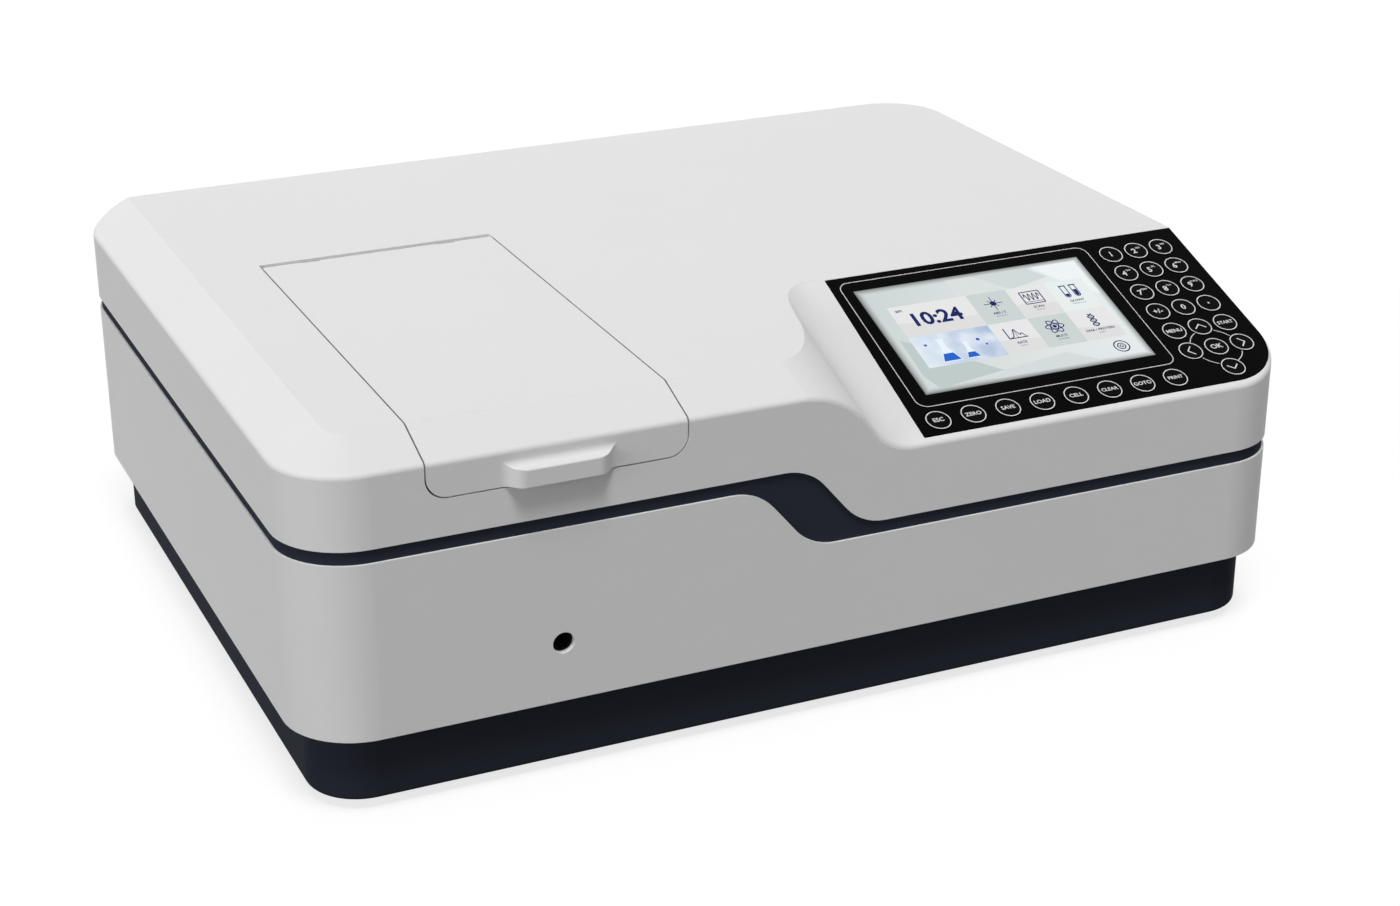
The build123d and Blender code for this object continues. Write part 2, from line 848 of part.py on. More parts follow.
def top_cover():
    """Upper shell with lid opening, its inner walls, hinge lugs, panel seat and board posts."""
    shell = cover_outside - cover_form(wall, wall)
    outer_block = block(
        opening_left - opening_wall,
        opening_right + opening_wall,
        front + wall / 2,
        opening_rear + opening_wall,
        lid_sill_height,
        above_all,
    )
    shell += outer_block & cover_outside
    shell -= lid_shape(0, opening_rear, lid_sill_height, lid_sill_corner_radius)
    inner_rear = opening_rear - 2 * lid_rear_corner_radius
    shell -= block(opening_left, opening_right, front + wall, inner_rear, lid_sill_height, above_all)
    shell -= below_cover_seam()
    for x in hinge_lug_centres():
        low = x - hinge_lug_width / 2
        high = x + hinge_lug_width / 2
        lug_bottom = hinge_height - hinge_lug_radius
        lug_top = hinge_height - hinge_lug_step
        lug = block(low, high, hinge_y, opening_rear + overrun, lug_bottom, lug_top)
        lug += rod_x(hinge_lug_radius, hinge_y, hinge_height, low, high)
        shell += lug
        bore = hinge_pin_radius + hinge_running_clearance
        shell -= rod_x(bore, hinge_y, hinge_height, low - overrun, high + overrun)
    shell -= console_plate(panel_face(panel_clearance), -panel_thickness, panel_thickness)
    window = panel_face(-panel_seat_width)
    low = console_bar_run - console_bar_width / 2
    upright = Rectangle(console_bar_width, console_length, align=(Align.CENTER, Align.MIN))
    level = Rectangle(console_length * 2, console_bar_width, align=(Align.MAX, Align.MIN))
    bars = Pos(console_bar_x, low) * (upright + level)
    shell -= console_plate(window - bars, 0, 2 * wall)
    post_top = panel_thickness + board_post_root
    post_end = panel_thickness + key_skirt + key_travel + key_travel_reserve + switch_height
    for x, run in board_posts:
        post = Pos(x, run) * Circle(board_post_radius)
        shell += console_plate(post, post_top, post_end)
    return shell


def sample_lid():
    """Flush lid skin with barrel-shaped rear edge, inner rib and moulded handle."""
    corner = lid_sill_corner_radius - lid_gap
    shape = lid_shape(lid_gap, hinge_y + lid_barrel_radius, lid_bottom, corner)
    shape &= block(lid_left - overrun, lid_right + overrun, front - overrun, hinge_y, 0, above_all)
    skin = (cover_outside & shape) - cover_form(lid_thickness, lid_thickness)
    barrel = rod_x(lid_barrel_radius, hinge_y, hinge_height, lid_left, lid_right)
    barrel = chamfer(barrel.edges(), lid_barrel_chamfer)
    lid = skin + barrel
    rib = block(
        lid_left + lid_rib_inset,
        lid_right - lid_rib_inset,
        front + rib_front_run,
        hinge_y - rib_rear_clearance,
        lid_rib_bottom,
        above_all,
    )
    rib -= block(
        lid_left + lid_rib_inset + lid_rib_thickness,
        lid_right - lid_rib_inset - lid_rib_thickness,
        front + rib_front_run + lid_rib_thickness,
        hinge_y - rib_rear_clearance - lid_rib_thickness,
        0,
        above_all + overrun,
    )
    lid += rib & cover_form(lid_thickness / 2, lid_thickness / 2)
    lid += lid_handle()
    for x in hinge_lug_centres():
        half = hinge_lug_width / 2 + hinge_side_clearance
        lid -= rod_x(hinge_notch_radius, hinge_y, hinge_height, x - half, x + half)
    bore = hinge_pin_radius + hinge_running_clearance
    return lid - rod_x(bore, hinge_y, hinge_height, lid_left - overrun, lid_right + overrun)


def lid_handle():
    """Finger ledge on the lid's lip: its ends sweep out of the face and its top is scooped."""
    lip = front - handle_reach
    root = front + lid_thickness / 2
    half = handle_width / 2
    side = half + handle_end_radius
    plan = make_face(
        Polyline(
            (-side, root),
            (-side, front),
            (-half, front),
            (-half + handle_end_run, lip),
            (half - handle_end_run, lip),
            (half, front),
            (side, front),
            (side, root),
            close=True,
        )
    )
    bends = [v for v in plan.vertices() if abs(v.X) < side - overrun]
    plan = fillet(bends, handle_end_radius)
    lip_top = lid_bottom + handle_lip_height
    root_top = lip_top + handle_scoop_radius
    prism = extrude(Pos(lid_centre_x, 0, lid_bottom) * plan, root_top - lid_bottom)
    scoop_start = (front - handle_scoop_radius, lip_top)
    diagonal = handle_scoop_radius * sin(radians(45))
    scoop_middle = (scoop_start[0] + diagonal, root_top - diagonal)
    profile = make_face(
        Curve()
        + [
            Line((lip, lip_top), scoop_start),
            ThreePointArc(scoop_start, scoop_middle, (front, root_top)),
            Polyline(
                (front, root_top),
                (root, root_top),
                (root, lid_bottom),
                (lip, lid_bottom),
                (lip, lip_top),
            ),
        ]
    )
    edge = profile.vertices().sort_by(lambda v: v.Y - v.X)
    edge = [v for v in edge if abs(v.X - lip) < handle_edge_radius and v.Y > lid_bottom + overrun]
    profile = fillet(edge, handle_edge_radius)
    placed = Plane(origin=(lid_centre_x - side, 0, 0), x_dir=(0, 1, 0), z_dir=(1, 0, 0)) * profile
    return prism & extrude(placed, 2 * side)


def hinge_pin():
    """Steel pin through the lugs and the lid's barrel."""
    start = lid_left + hinge_pin_end_gap
    end = lid_right - hinge_pin_end_gap
    return rod_x(hinge_pin_radius, hinge_y, hinge_height, start, end)


def ring_block(x_low, x_high, y_low, y_high, z_low, z_high, width):
    """Rectangular ring of the given section width."""
    ring = block(x_low, x_high, y_low, y_high, z_low, z_high)
    hole = block(
        x_low + width,
        x_high - width,
        y_low + width,
        y_high - width,
        z_low - overrun,
        z_high + overrun,
    )
    return ring - hole


def lid_seal():
    """Soft ring under the lid's rib."""
    middle = (seal_width - lid_rib_thickness) / 2
    return ring_block(
        lid_left + lid_rib_inset - middle,
        lid_right - lid_rib_inset + middle,
        front + rib_front_run - middle,
        hinge_y - rib_rear_clearance + middle,
        lid_sill_height,
        lid_rib_bottom - seal_gap,
        seal_width,
    )


def sample_well():
    """Black tub under the lid: flange, beam windows, port tube and the lead screw's front bearing."""
    tub = block(
        well_left - well_wall,
        well_right + well_wall,
        well_front - well_wall,
        well_rear + well_wall,
        bed_top,
        flange_low,
    )
    tub += block(
        opening_left - opening_wall,
        opening_right + opening_wall,
        front + wall,
        opening_rear + opening_wall,
        flange_low,
        lid_sill_height,
    )
    hollow = block(well_left, well_right, well_front, well_rear, well_floor, above_all)
    tub -= fillet(hollow.edges().filter_by(Axis.Z), well_corner_radius)
    tube_end = well_front - well_wall / 2
    tub += rod_y(port_radius + port_tube_wall, lid_centre_x, port_height, front + wall, tube_end)
    tub -= rod_y(port_radius, lid_centre_x, port_height, front, well_front + overrun)
    for y in (sample_beam_y, reference_beam_y):
        left = well_left - well_wall - overrun
        right = well_right + well_wall + overrun
        tub -= rod_x(beam_hole_radius, y, beam_height, left, right)
    half = screw_bearing_size / 2
    bearing_end = well_front + screw_bearing_length
    tub += block(
        screw_x - half,
        screw_x + half,
        well_front - overrun,
        bearing_end,
        port_height - half,
        port_height + half,
    )
    bore = screw_journal_radius + slide_clearance
    tub -= rod_y(bore, screw_x, port_height, well_front - slide_clearance, bearing_end + overrun)
    tub -= rod_y(screw_radius, screw_x, port_height, well_rear - overrun, well_rear + well_wall + overrun)
    return tub


def cell_slots(x_centre, y_centres, z_low, z_high):
    """Square pockets for cells."""
    half = cell_size / 2
    x_low = x_centre - half
    x_high = x_centre + half
    return [block(x_low, x_high, y - half, y + half, z_low, z_high) for y in y_centres]


def beam_windows(y_centres):
    """Slots that let the beam cross a cell block along X."""
    half_y = beam_window_width / 2
    half_z = beam_window_height / 2
    x_low = lid_centre_x - carriage_width / 2
    x_high = lid_centre_x + carriage_width / 2
    z_low = beam_height - half_z
    z_high = beam_height + half_z
    return [block(x_low, x_high, y - half_y, y + half_y, z_low, z_high) for y in y_centres]


def cell_carriage():
    """Sliding block with five cell pockets, bored for its rods and lead screw."""
    y_high = carriage_front + carriage_length
    half = carriage_width / 2
    tower = cell_block_width / 2
    x = lid_centre_x
    left = x - half
    right = x + half
    deck = block(left, right, carriage_front, y_high, carriage_bottom, carriage_deck_height)
    deck = chamfer(deck.edges().filter_by(Axis.Z), carriage_end_margin)
    tower_root = carriage_deck_height - overrun
    deck += block(x - tower, x + tower, carriage_front, y_high, tower_root, cell_block_top)
    centres = [cell_first_y + index * cell_pitch for index in range(cell_count)]
    for pocket in cell_slots(x, centres, cell_floor_height, cell_block_top + overrun):
        deck -= pocket
    for window in beam_windows(centres):
        deck -= window
    start = carriage_front - overrun
    end = y_high + overrun
    rod_bore = guide_rod_radius + slide_clearance
    for side in (-1, 1):
        deck -= rod_y(rod_bore, x + side * guide_rod_offset, port_height, start, end)
    deck -= rod_y(screw_radius + slide_clearance, screw_x, port_height, start, end)
    return deck


def guide_rods():
    """Two rods from the well's front wall to its rear wall."""
    return [
        rod_y(guide_rod_radius, lid_centre_x + side * guide_rod_offset, port_height, well_front, well_rear)
        for side in (-1, 1)
    ]


def lead_screw():
    """Drive screw with a journal at each end."""
    start = well_front + screw_bearing_length
    screw = rod_y(screw_radius, screw_x, port_height, start + slide_clearance, well_rear)
    screw += rod_y(screw_journal_radius, screw_x, port_height, well_front, start + overrun)
    journal_end = well_rear + well_wall + screw_journal_length
    screw += rod_y(screw_journal_radius, screw_x, port_height, well_rear - overrun, journal_end)
    return screw


def carriage_motor():
    """Stepper motor behind the well, with the screw's journal in its shaft bore."""
    half = motor_size / 2
    y = well_rear + well_wall
    motor = block(screw_x - half, screw_x + half, y, y + motor_length, bed_top, bed_top + motor_size)
    motor = chamfer(motor.edges().filter_by(Axis.Y), motor_corner)
    bore_end = y + screw_journal_length + overrun
    return motor - rod_y(screw_journal_radius + slide_clearance, screw_x, port_height, y - overrun, bore_end)


def reference_holder():
    """Fixed holder for the reference cell."""
    half = cell_block_width / 2
    x = lid_centre_x
    y = reference_beam_y
    body = block(x - half, x + half, y - half, y + half, well_floor, cell_block_top)
    for pocket in cell_slots(x, [y], cell_floor_height, cell_block_top + overrun):
        body -= pocket
    for window in beam_windows([y]):
        body -= window
    return body


def optical_bed():
    """Cast plate with pivot posts for grating and source mirror and a bracket for the filter wheel."""
    bed = block(bed_left_x, bed_right_x, behind(bed_front_run), behind(bed_rear_run), bed_bottom, bed_top)
    bed = chamfer(bed.edges().filter_by(Axis.Z), bed_corner)
    for x, y, height in (
        (turntable_x, turntable_y, turntable_height),
        (source_mirror_x, entrance_y, source_mirror_base_height),
    ):
        bed += rod_z(pivot_radius, x, y, bed_top - overrun, bed_top + height)
    bracket_x = filter_wheel_x + filter_wheel_thickness + bearing_gap
    bed += block(
        bracket_x,
        bracket_x + filter_bracket_thickness,
        filter_wheel_y - filter_bracket_half_width,
        filter_wheel_y + filter_bracket_half_width,
        bed_top - overrun,
        beam_height + filter_bracket_half_width,
    )
    pin_end = filter_wheel_x - bearing_gap
    bed += rod_x(filter_pin_radius, filter_wheel_y, beam_height, pin_end, bracket_x + overrun)
    return bed


def detector_blocks():
    """Photodiode housing at the end of each beam."""
    half = detector_size / 2
    blocks = []
    for y in (sample_beam_y, reference_beam_y):
        right = well_left - well_wall
        housing = block(right - detector_depth, right, y - half, y + half, bed_top, beam_height + half)
        housing = chamfer(housing.edges().group_by(Axis.X)[0], detector_corner)
        bore_end = right - detector_depth / 2
        blocks.append(housing - rod_x(beam_hole_radius, y, beam_height, bore_end, right + overrun))
    return blocks


def monochromator_case():
    """Cast cover over the grating, open below, with an entrance and an exit slit."""
    right = mono_right_x
    y_low = behind(mono_front_run)
    y_high = y_low + mono_length
    top = bed_top + mono_height
    case = block(mono_left_x, right, y_low, y_high, bed_top, top)
    case = fillet(case.edges().filter_by(Axis.Z), mono_corner_radius)
    case = chamfer(case.edges().group_by(Axis.Z)[-1], mono_top_chamfer)
    case -= block(
        mono_left_x + mono_wall,
        right - mono_wall,
        y_low + mono_wall,
        y_high - mono_wall,
        bed_top - overrun,
        top - mono_wall,
    )
    for y in (entrance_y, reference_beam_y):
        case -= block(
            mono_left_x - overrun,
            mono_left_x + mono_wall + overrun,
            y - slit_width / 2,
            y + slit_width / 2,
            beam_height - slit_height / 2,
            beam_height + slit_height / 2,
        )
    return case


def grating_turntable():
    """Turntable on its post, carrying the grating."""
    low = bed_top + bearing_gap
    table = rod_z(turntable_radius, turntable_x, turntable_y, low, low + turntable_height)
    half = grating_size / 2
    table += block(
        turntable_x + grating_offset,
        turntable_x + grating_offset + grating_thickness,
        turntable_y - half,
        turntable_y + half,
        low + turntable_height - overrun,
        low + turntable_height + grating_size,
    )
    bore = pivot_radius + slide_clearance
    return table - rod_z(bore, turntable_x, turntable_y, bed_top - overrun, low + turntable_height + overrun)


def mirror_on_post(x, y, turn):
    """Upright mirror on its foot, turned about the vertical."""
    half = mirror_size / 2
    low = beam_height - half
    plate = block(0, mirror_thickness, -half, half, low, beam_height + half)
    foot = block(
        -mirror_foot_front,
        mirror_thickness + mirror_foot_rear,
        -mirror_foot_half_width,
        mirror_foot_half_width,
        bed_top,
        low + overrun,
    )
    return Pos(x, y, 0) * Rot(Z=turn) * (plate + foot)


def mirrors():
    """Beam divider, sample mirror and the two collimating mirrors."""
    far = mono_right_x - far_mirror_inset
    return [
        mirror_on_post(divider_x, reference_beam_y, divider_angle),
        mirror_on_post(divider_x, sample_beam_y, -divider_angle),
        mirror_on_post(far, reference_beam_y + collimator_shift, collimator_angle),
        mirror_on_post(far, entrance_y - collimator_shift, -collimator_angle),
    ]


def lamp_house():
    """Sheet cover over the lamps, open below, with a beam hole and cooling slots towards the fan."""
    right = lamp_house_right_x
    y_low = behind(lamp_house_front_run)
    y_high = y_low + lamp_house_length
    top = bed_top + lamp_house_height
    inner = lamp_house_wall
    house = block(lamp_house_left_x, right, y_low, y_high, bed_top, top)
    left = lamp_house_left_x + inner
    house -= block(left, right - inner, y_low + inner, y_high - inner, bed_top - overrun, top - inner)
    house -= rod_x(beam_hole_radius, entrance_y, beam_height, right - inner - overrun, right + overrun)
    for index in range(louvre_count):
        z = bed_top + louvre_rise + index * grille_slot_pitch
        middle = lamp_house_left_x + lamp_house_width / 2
        x_low = middle - louvre_half_width
        x_high = middle + louvre_half_width
        house -= block(x_low, x_high, y_high - inner - overrun, y_high + overrun, z, z + grille_slot_width)
    return house


def lamps():
    """Deuterium lamp and halogen lamp, each on its base."""
    made = []
    for y, radius, height in (
        (entrance_y - lamp_spacing / 2, deuterium_radius, deuterium_height),
        (entrance_y + lamp_spacing / 2, halogen_radius, halogen_height),
    ):
        base_top = bed_top + lamp_base_height
        bulb = rod_z(radius, lamp_x, y, base_top - overrun, base_top + height)
        bulb = fillet(bulb.edges().group_by(Axis.Z)[-1], radius * bulb_crown_ratio)
        made.append(rod_z(lamp_base_radius, lamp_x, y, bed_top, base_top) + bulb)
    return made


def source_mirror():
    """Mirror that turns to send one lamp or the other into the slit."""
    low = bed_top + bearing_gap
    hub_top = low + source_mirror_base_height
    mirror = rod_z(source_mirror_size / 2, source_mirror_x, entrance_y, low, hub_top)
    mirror += block(
        source_mirror_x + pivot_radius,
        source_mirror_x + pivot_radius + source_mirror_thickness,
        entrance_y - source_mirror_plate_width / 2,
        entrance_y + source_mirror_plate_width / 2,
        hub_top - overrun,
        beam_height + source_mirror_size / 2,
    )
    bore = pivot_radius + slide_clearance
    return mirror - rod_z(bore, source_mirror_x, entrance_y, bed_top - overrun, hub_top + overrun)


def filter_wheel():
    """Wheel with one hole for each order filter, on its bracket's pin."""
    x_high = filter_wheel_x + filter_wheel_thickness
    wheel = rod_x(filter_wheel_radius, filter_wheel_y, beam_height, filter_wheel_x, x_high)
    for index in range(filter_count):
        angle = 2 * pi * index / filter_count
        y = filter_wheel_y + filter_orbit * cos(angle)
        z = beam_height + filter_orbit * sin(angle)
        wheel -= rod_x(filter_radius, y, z, filter_wheel_x - overrun, x_high + overrun)
    bore = filter_pin_radius + slide_clearance
    return wheel - rod_x(bore, filter_wheel_y, beam_height, filter_wheel_x - overrun, x_high + overrun)


def main_board():
    """Main circuit board with rear sockets, processor with heat sink and smaller chips."""
    x = main_board_left_x
    y = board_front
    floor = main_board_height
    top = floor + board_thickness
    board = block(x, x + main_board_width, y, rear - wall - connector_clearance, floor, top)
    mouth = rear + connector_overhang
    hollows = block(left_side, right_side, mouth - port_hollow_depth, mouth + overrun, floor, above_all)
    for socket, inner in zip(connector_boxes(0), connector_boxes(-port_shell)):
        board += socket - (inner & hollows)
    for fitting in port_fittings():
        board += fitting
    sink_x = x + processor_x
    sink_y = y + processor_y
    sink_end = sink_y + processor_size
    sink_top = top + processor_height
    board += block(sink_x, sink_x + processor_size, sink_y, sink_end, top, sink_top)
    for fin in range(heat_fin_count):
        fin_x = sink_x + fin * heat_fin_pitch
        fin_top = sink_top + heat_fin_height
        board += block(fin_x, fin_x + heat_fin_thickness, sink_y, sink_end, sink_top - overrun, fin_top)
    for chip_x, chip_y, size in small_chips:
        corner_x = x + chip_x
        corner_y = y + chip_y
        board += block(corner_x, corner_x + size, corner_y, corner_y + size, top, top + chip_height)
    return board


def power_supply():
    """Enclosed power supply on the tray's floor, with vent slots along its top."""
    x = supply_left_x
    y = supply_front
    supply = block(x, x + supply_width, y, y + supply_length, tray_wall, tray_wall + supply_height)
    supply = chamfer(supply.edges().filter_by(Axis.Z), supply_corner)
    top = tray_wall + supply_height
    for index in range(supply_vent_count):
        slot_x = x + supply_vent_margin_x + index * supply_vent_pitch
        supply -= block(
            slot_x,
            slot_x + supply_vent_width,
            y + supply_vent_margin_y,
            y + supply_length - supply_vent_margin_y,
            top - supply_vent_depth,
            top + overrun,
        )
    return supply


def fan_frame():
    """Square fan frame against the rear wall, with struts, motor boss and axle."""
    half = fan_size / 2
    y_low = rear - wall - fan_thickness
    frame = block(-half, half, y_low, rear - wall, -half, half)
    frame = fillet(frame.edges().filter_by(Axis.Y), fan_corner_radius)
    frame -= rod_y(fan_bore_radius, 0, 0, y_low - overrun, rear)
    reach = fan_bore_radius + overrun
    strut_half = fan_strut_width / 2
    strut = block(-reach, reach, y_low, y_low + fan_strut_thickness, -strut_half, strut_half)
    for turn in (45, 135):
        frame += Rot(Y=turn) * strut
    frame += rod_y(fan_boss_radius, 0, 0, y_low, y_low + fan_boss_height)
    frame += rod_y(fan_axle_radius, 0, 0, y_low, rear - wall - fan_axle_setback)
    return Pos(fan_centre_x, 0, fan_centre_height) * frame


def fan_rotor():
    """Fan hub with pitched blades, running on the frame's axle."""
    y_low = rear - wall - fan_thickness + fan_boss_height + fan_bearing_gap
    y_high = rear - wall - fan_rotor_setback
    rotor = rod_y(fan_hub_radius, 0, 0, y_low, y_high)
    middle = (y_low + y_high) / 2
    half = fan_blade_thickness / 2
    chord = fan_blade_chord / 2
    blade = block(fan_hub_radius - overrun, fan_blade_radius, -half, half, -chord, chord)
    blade = Pos(0, middle, 0) * Rot(X=fan_blade_pitch) * blade
    for index in range(fan_blade_count):
        rotor += Rot(Y=index * 360 / fan_blade_count) * blade
    rotor -= rod_y(fan_axle_radius + slide_clearance, 0, 0, y_low - overrun, y_high + overrun)
    return Pos(fan_centre_x, 0, fan_centre_height) * rotor


def power_inlet():
    """Mains inlet and switch housing: flange, socket with three blades and rocker pocket."""
    x = inlet_centre_x
    half = inlet_socket_width / 2 + inlet_wall
    low = inlet_centre_height - inlet_socket_height / 2 - inlet_wall
    high = rocker_centre_height + rocker_height / 2 + rocker_clearance + inlet_wall
    face = rear + inlet_flange_thickness
    flange_half = inlet_flange_width / 2
    flange = block(
        x - flange_half, x + flange_half, rear, face, inlet_flange_bottom, inlet_flange_top
    )
    flange = fillet(flange.edges().filter_by(Axis.Y), inlet_flange_corner)
    body = flange + block(x - half, x + half, rear - inlet_body_depth, rear + overrun, low, high)
    socket_half = inlet_socket_width / 2
    socket_low = inlet_centre_height - inlet_socket_height / 2
    socket_floor = face - inlet_socket_depth
    socket_high = socket_low + inlet_socket_height
    socket = block(x - socket_half, x + socket_half, socket_floor, face + overrun, socket_low, socket_high)
    body -= chamfer(socket.edges().filter_by(Axis.Y).group_by(Axis.Z)[-1], inlet_socket_corner)
    blade = Box(inlet_blade_width, inlet_socket_depth - inlet_blade_setback + overrun, inlet_blade_height)
    blade_y = (socket_floor - overrun + face - inlet_blade_setback) / 2
    for blade_x, blade_rise in inlet_blade_places:
        body += Pos(x + blade_x, blade_y, inlet_centre_height + blade_rise) * blade
    pocket_half = rocker_radius + rocker_clearance
    pocket_rise = rocker_height / 2 + rocker_clearance
    body -= block(
        x - pocket_half,
        x + pocket_half,
        rear - inlet_body_depth + inlet_wall,
        face + overrun,
        rocker_centre_height - pocket_rise,
        rocker_centre_height + pocket_rise,
    )
    pivot_low = rocker_centre_height - pocket_rise - overrun
    pivot_high = rocker_centre_height + pocket_rise + overrun
    return body + rod_z(rocker_pivot_radius, x, rocker_pivot_y, pivot_low, pivot_high)


def rocker_switch():
    """Rocker with two sloping halves on its pivot, resting in its off position."""
    middle_rise = rear + inlet_flange_thickness - rocker_pivot_y
    end_rise = middle_rise + rocker_radius * tan(radians(rocker_tilt))
    outline = Polyline(
        (-rocker_radius, -rocker_depth),
        (rocker_radius, -rocker_depth),
        (rocker_radius, end_rise),
        (0, middle_rise),
        (-rocker_radius, end_rise),
        close=True,
    )
    face = make_face(outline) & Circle(rocker_radius)
    low = rocker_centre_height - rocker_height / 2
    rocker = extrude(Pos(0, 0, low) * face, rocker_height)
    bore = rocker_pivot_radius + slide_clearance
    rocker -= rod_z(bore, 0, 0, low - overrun, low + rocker_height + overrun)
    return Pos(inlet_centre_x, rocker_pivot_y, 0) * Rot(Z=rocker_tilt) * rocker


def write(name, shape):
    """Write one sub-part, lifted by the height of the feet."""
    solids = shape if isinstance(shape, list) else [shape]
    lifted = [Pos(0, 0, foot_height) * solid for solid in solids]
    if len(lifted) > 1:
        lifted = [Compound(children=[solid for part in lifted for solid in part.solids()])]
    export_step(lifted[0], f"parts/{name}.step")


os.makedirs("parts", exist_ok=True)
sub_parts = {
    "base_tray": base_tray,
    "rubber_feet": rubber_feet,
    "lower_housing": lower_housing,
    "seam_strip": seam_strip,
    "top_cover": top_cover,
    "sample_lid": sample_lid,
    "hinge_pin": hinge_pin,
    "lid_seal": lid_seal,
    "sample_well": sample_well,
    "key_panel": key_panel,
    "screen_glass": screen_glass,
    "display_module": display_module,
    "key_board": key_board,
    "optical_bed": optical_bed,
    "cell_carriage": cell_carriage,
    "guide_rods": guide_rods,
    "lead_screw": lead_screw,
    "carriage_motor": carriage_motor,
    "reference_holder": reference_holder,
    "detector_blocks": detector_blocks,
    "monochromator_case": monochromator_case,
    "grating_turntable": grating_turntable,
    "mirrors": mirrors,
    "lamp_house": lamp_house,
    "lamps": lamps,
    "source_mirror": source_mirror,
    "filter_wheel": filter_wheel,
    "main_board": main_board,
    "power_supply": power_supply,
    "fan_frame": fan_frame,
    "fan_rotor": fan_rotor,
    "power_inlet": power_inlet,
    "rocker_switch": rocker_switch,
}
for node, make in sub_parts.items():
    write(node, make())
for node, key_x, key_run in key_places():
    write(node, key_cap(key_x, key_run))
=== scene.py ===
import json
from math import atan2, cos, hypot, pi, radians, sin, tan

import bpy
from mathutils import Matrix, Vector


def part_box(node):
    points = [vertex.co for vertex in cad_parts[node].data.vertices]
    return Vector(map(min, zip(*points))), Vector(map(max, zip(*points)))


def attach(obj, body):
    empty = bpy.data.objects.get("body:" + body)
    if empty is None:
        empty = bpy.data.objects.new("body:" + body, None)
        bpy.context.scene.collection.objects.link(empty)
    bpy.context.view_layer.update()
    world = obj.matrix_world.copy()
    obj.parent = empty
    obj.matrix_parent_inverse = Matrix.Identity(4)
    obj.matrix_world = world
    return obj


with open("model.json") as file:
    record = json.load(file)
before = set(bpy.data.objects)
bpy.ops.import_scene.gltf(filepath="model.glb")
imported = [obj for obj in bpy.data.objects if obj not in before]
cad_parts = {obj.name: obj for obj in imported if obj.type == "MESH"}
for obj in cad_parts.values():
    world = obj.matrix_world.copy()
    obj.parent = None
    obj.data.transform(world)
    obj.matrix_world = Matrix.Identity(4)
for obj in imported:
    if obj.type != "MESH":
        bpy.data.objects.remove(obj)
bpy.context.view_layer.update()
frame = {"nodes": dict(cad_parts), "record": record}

MM = 0.001
scene = bpy.context.scene
scene.view_settings.view_transform = "Standard"

# The console's plane, worked out from the frame and its slope
FRONT_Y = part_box("lower_housing")[0].y
BODY_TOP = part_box("top_cover")[1].z
CONSOLE_RUN = 137.5 * MM
CONSOLE_RISE = 49.3 * MM
SLOPE_ANGLE = atan2(CONSOLE_RISE, CONSOLE_RUN)
CONSOLE_EDGE = Vector((0, FRONT_Y, BODY_TOP - CONSOLE_RISE))
SLOPE = Vector((0, cos(SLOPE_ANGLE), sin(SLOPE_ANGLE)))
OUTWARD = Vector((0, -sin(SLOPE_ANGLE), cos(SLOPE_ANGLE)))

# Camera, solved from the photograph's straight edges
CAMERA_PLACE = (-0.5933, -1.3573, 0.7013)
CAMERA_AZIMUTH = radians(-24.507)
CAMERA_ELEVATION = radians(23.091)
CAMERA_LENS = 66.585
CAMERA_SENSOR = 36.0
CAMERA_REACH = 100.0

# Light: three soft lamps, an even sky and a floor that bounces little
# Each lamp has the direction it shines from, its strength, its spread, and whether glossy surfaces show it
LAMPS = {
    "overhead_light": (Vector((-0.05, -0.155, 0.515)), 2.23, radians(22), True),
    "side_light": (Vector((-0.22, -0.07, 0.05)), 1.0, radians(28), True),
    "back_light": (Vector((0.03, 0.15, 0.03)), 0.7, radians(30), False),
}
SKY_STRENGTH = 0.2
FLOOR_ALBEDO = 0.25
FLOOR_GLOW = 0.77
FLOOR_HALF = 30.0

# Print on the console, in millimetres on the panel
KEY_TOP = 0.4
KEY_RADIUS = 7.6
KEY_CHAMFER = 0.3
RING_WIDTH = 0.62
PRINT_LIFT = 0.03
LINE_WIDTH = 0.5
LETTER_WEIGHT = 0.022
CLOCK_WEIGHT = 0.028
FRAME_LINE = ((64.2, 27.6), (232.9, 27.6), (232.9, 139.6), (66.4, 139.6))
FRAME_LINE_RADIUS = 6.5
PAD_CIRCLE_RADIUS = 15.4
KEY_WORDS = {
    "row_key_1": "ESC", "row_key_2": "ZERO", "row_key_3": "SAVE", "row_key_4": "LOAD",
    "row_key_5": "CELL", "row_key_6": "CLEAR", "row_key_7": "GOTO", "row_key_8": "PRINT",
    "pad_key_menu": "MENU", "pad_key_start": "START", "pad_key_ok": "OK",
}
KEY_WORD_HEIGHTS = {2: 5.2, 3: 4.2, 4: 3.9, 5: 3.6}
KEY_SIGN_HEIGHT = 5.4
KEY_DIGIT_HEIGHT = 6.0
KEY_LETTER_HEIGHT = 1.9
KEY_DIGIT_PLACE = (-1.4, -0.4)
KEY_LETTER_PLACE = (2.3, 2.2)
KEY_POINT_RADIUS = 0.7
ARROW_LINE = ((-3.6, -1.5), (0, 1.9), (3.6, -1.5))
ARROW_WIDTH = 0.75
CIRCLE_CLEARANCE = 0.3
CIRCLE_SIDES = 64
DISC_SIDES = 32
CORNER_SIDES = 8
LEAST_BEND_COSINE = 0.4
KEY_LETTERS = {
    "2": "ABC", "3": "DEF", "4": "GHI", "5": "JKL", "6": "MNO", "7": "PQRS", "8": "TUV", "9": "WXYZ",
}
ARROW_TURNS = {"up": 0, "left": 90, "down": 180, "right": 270}

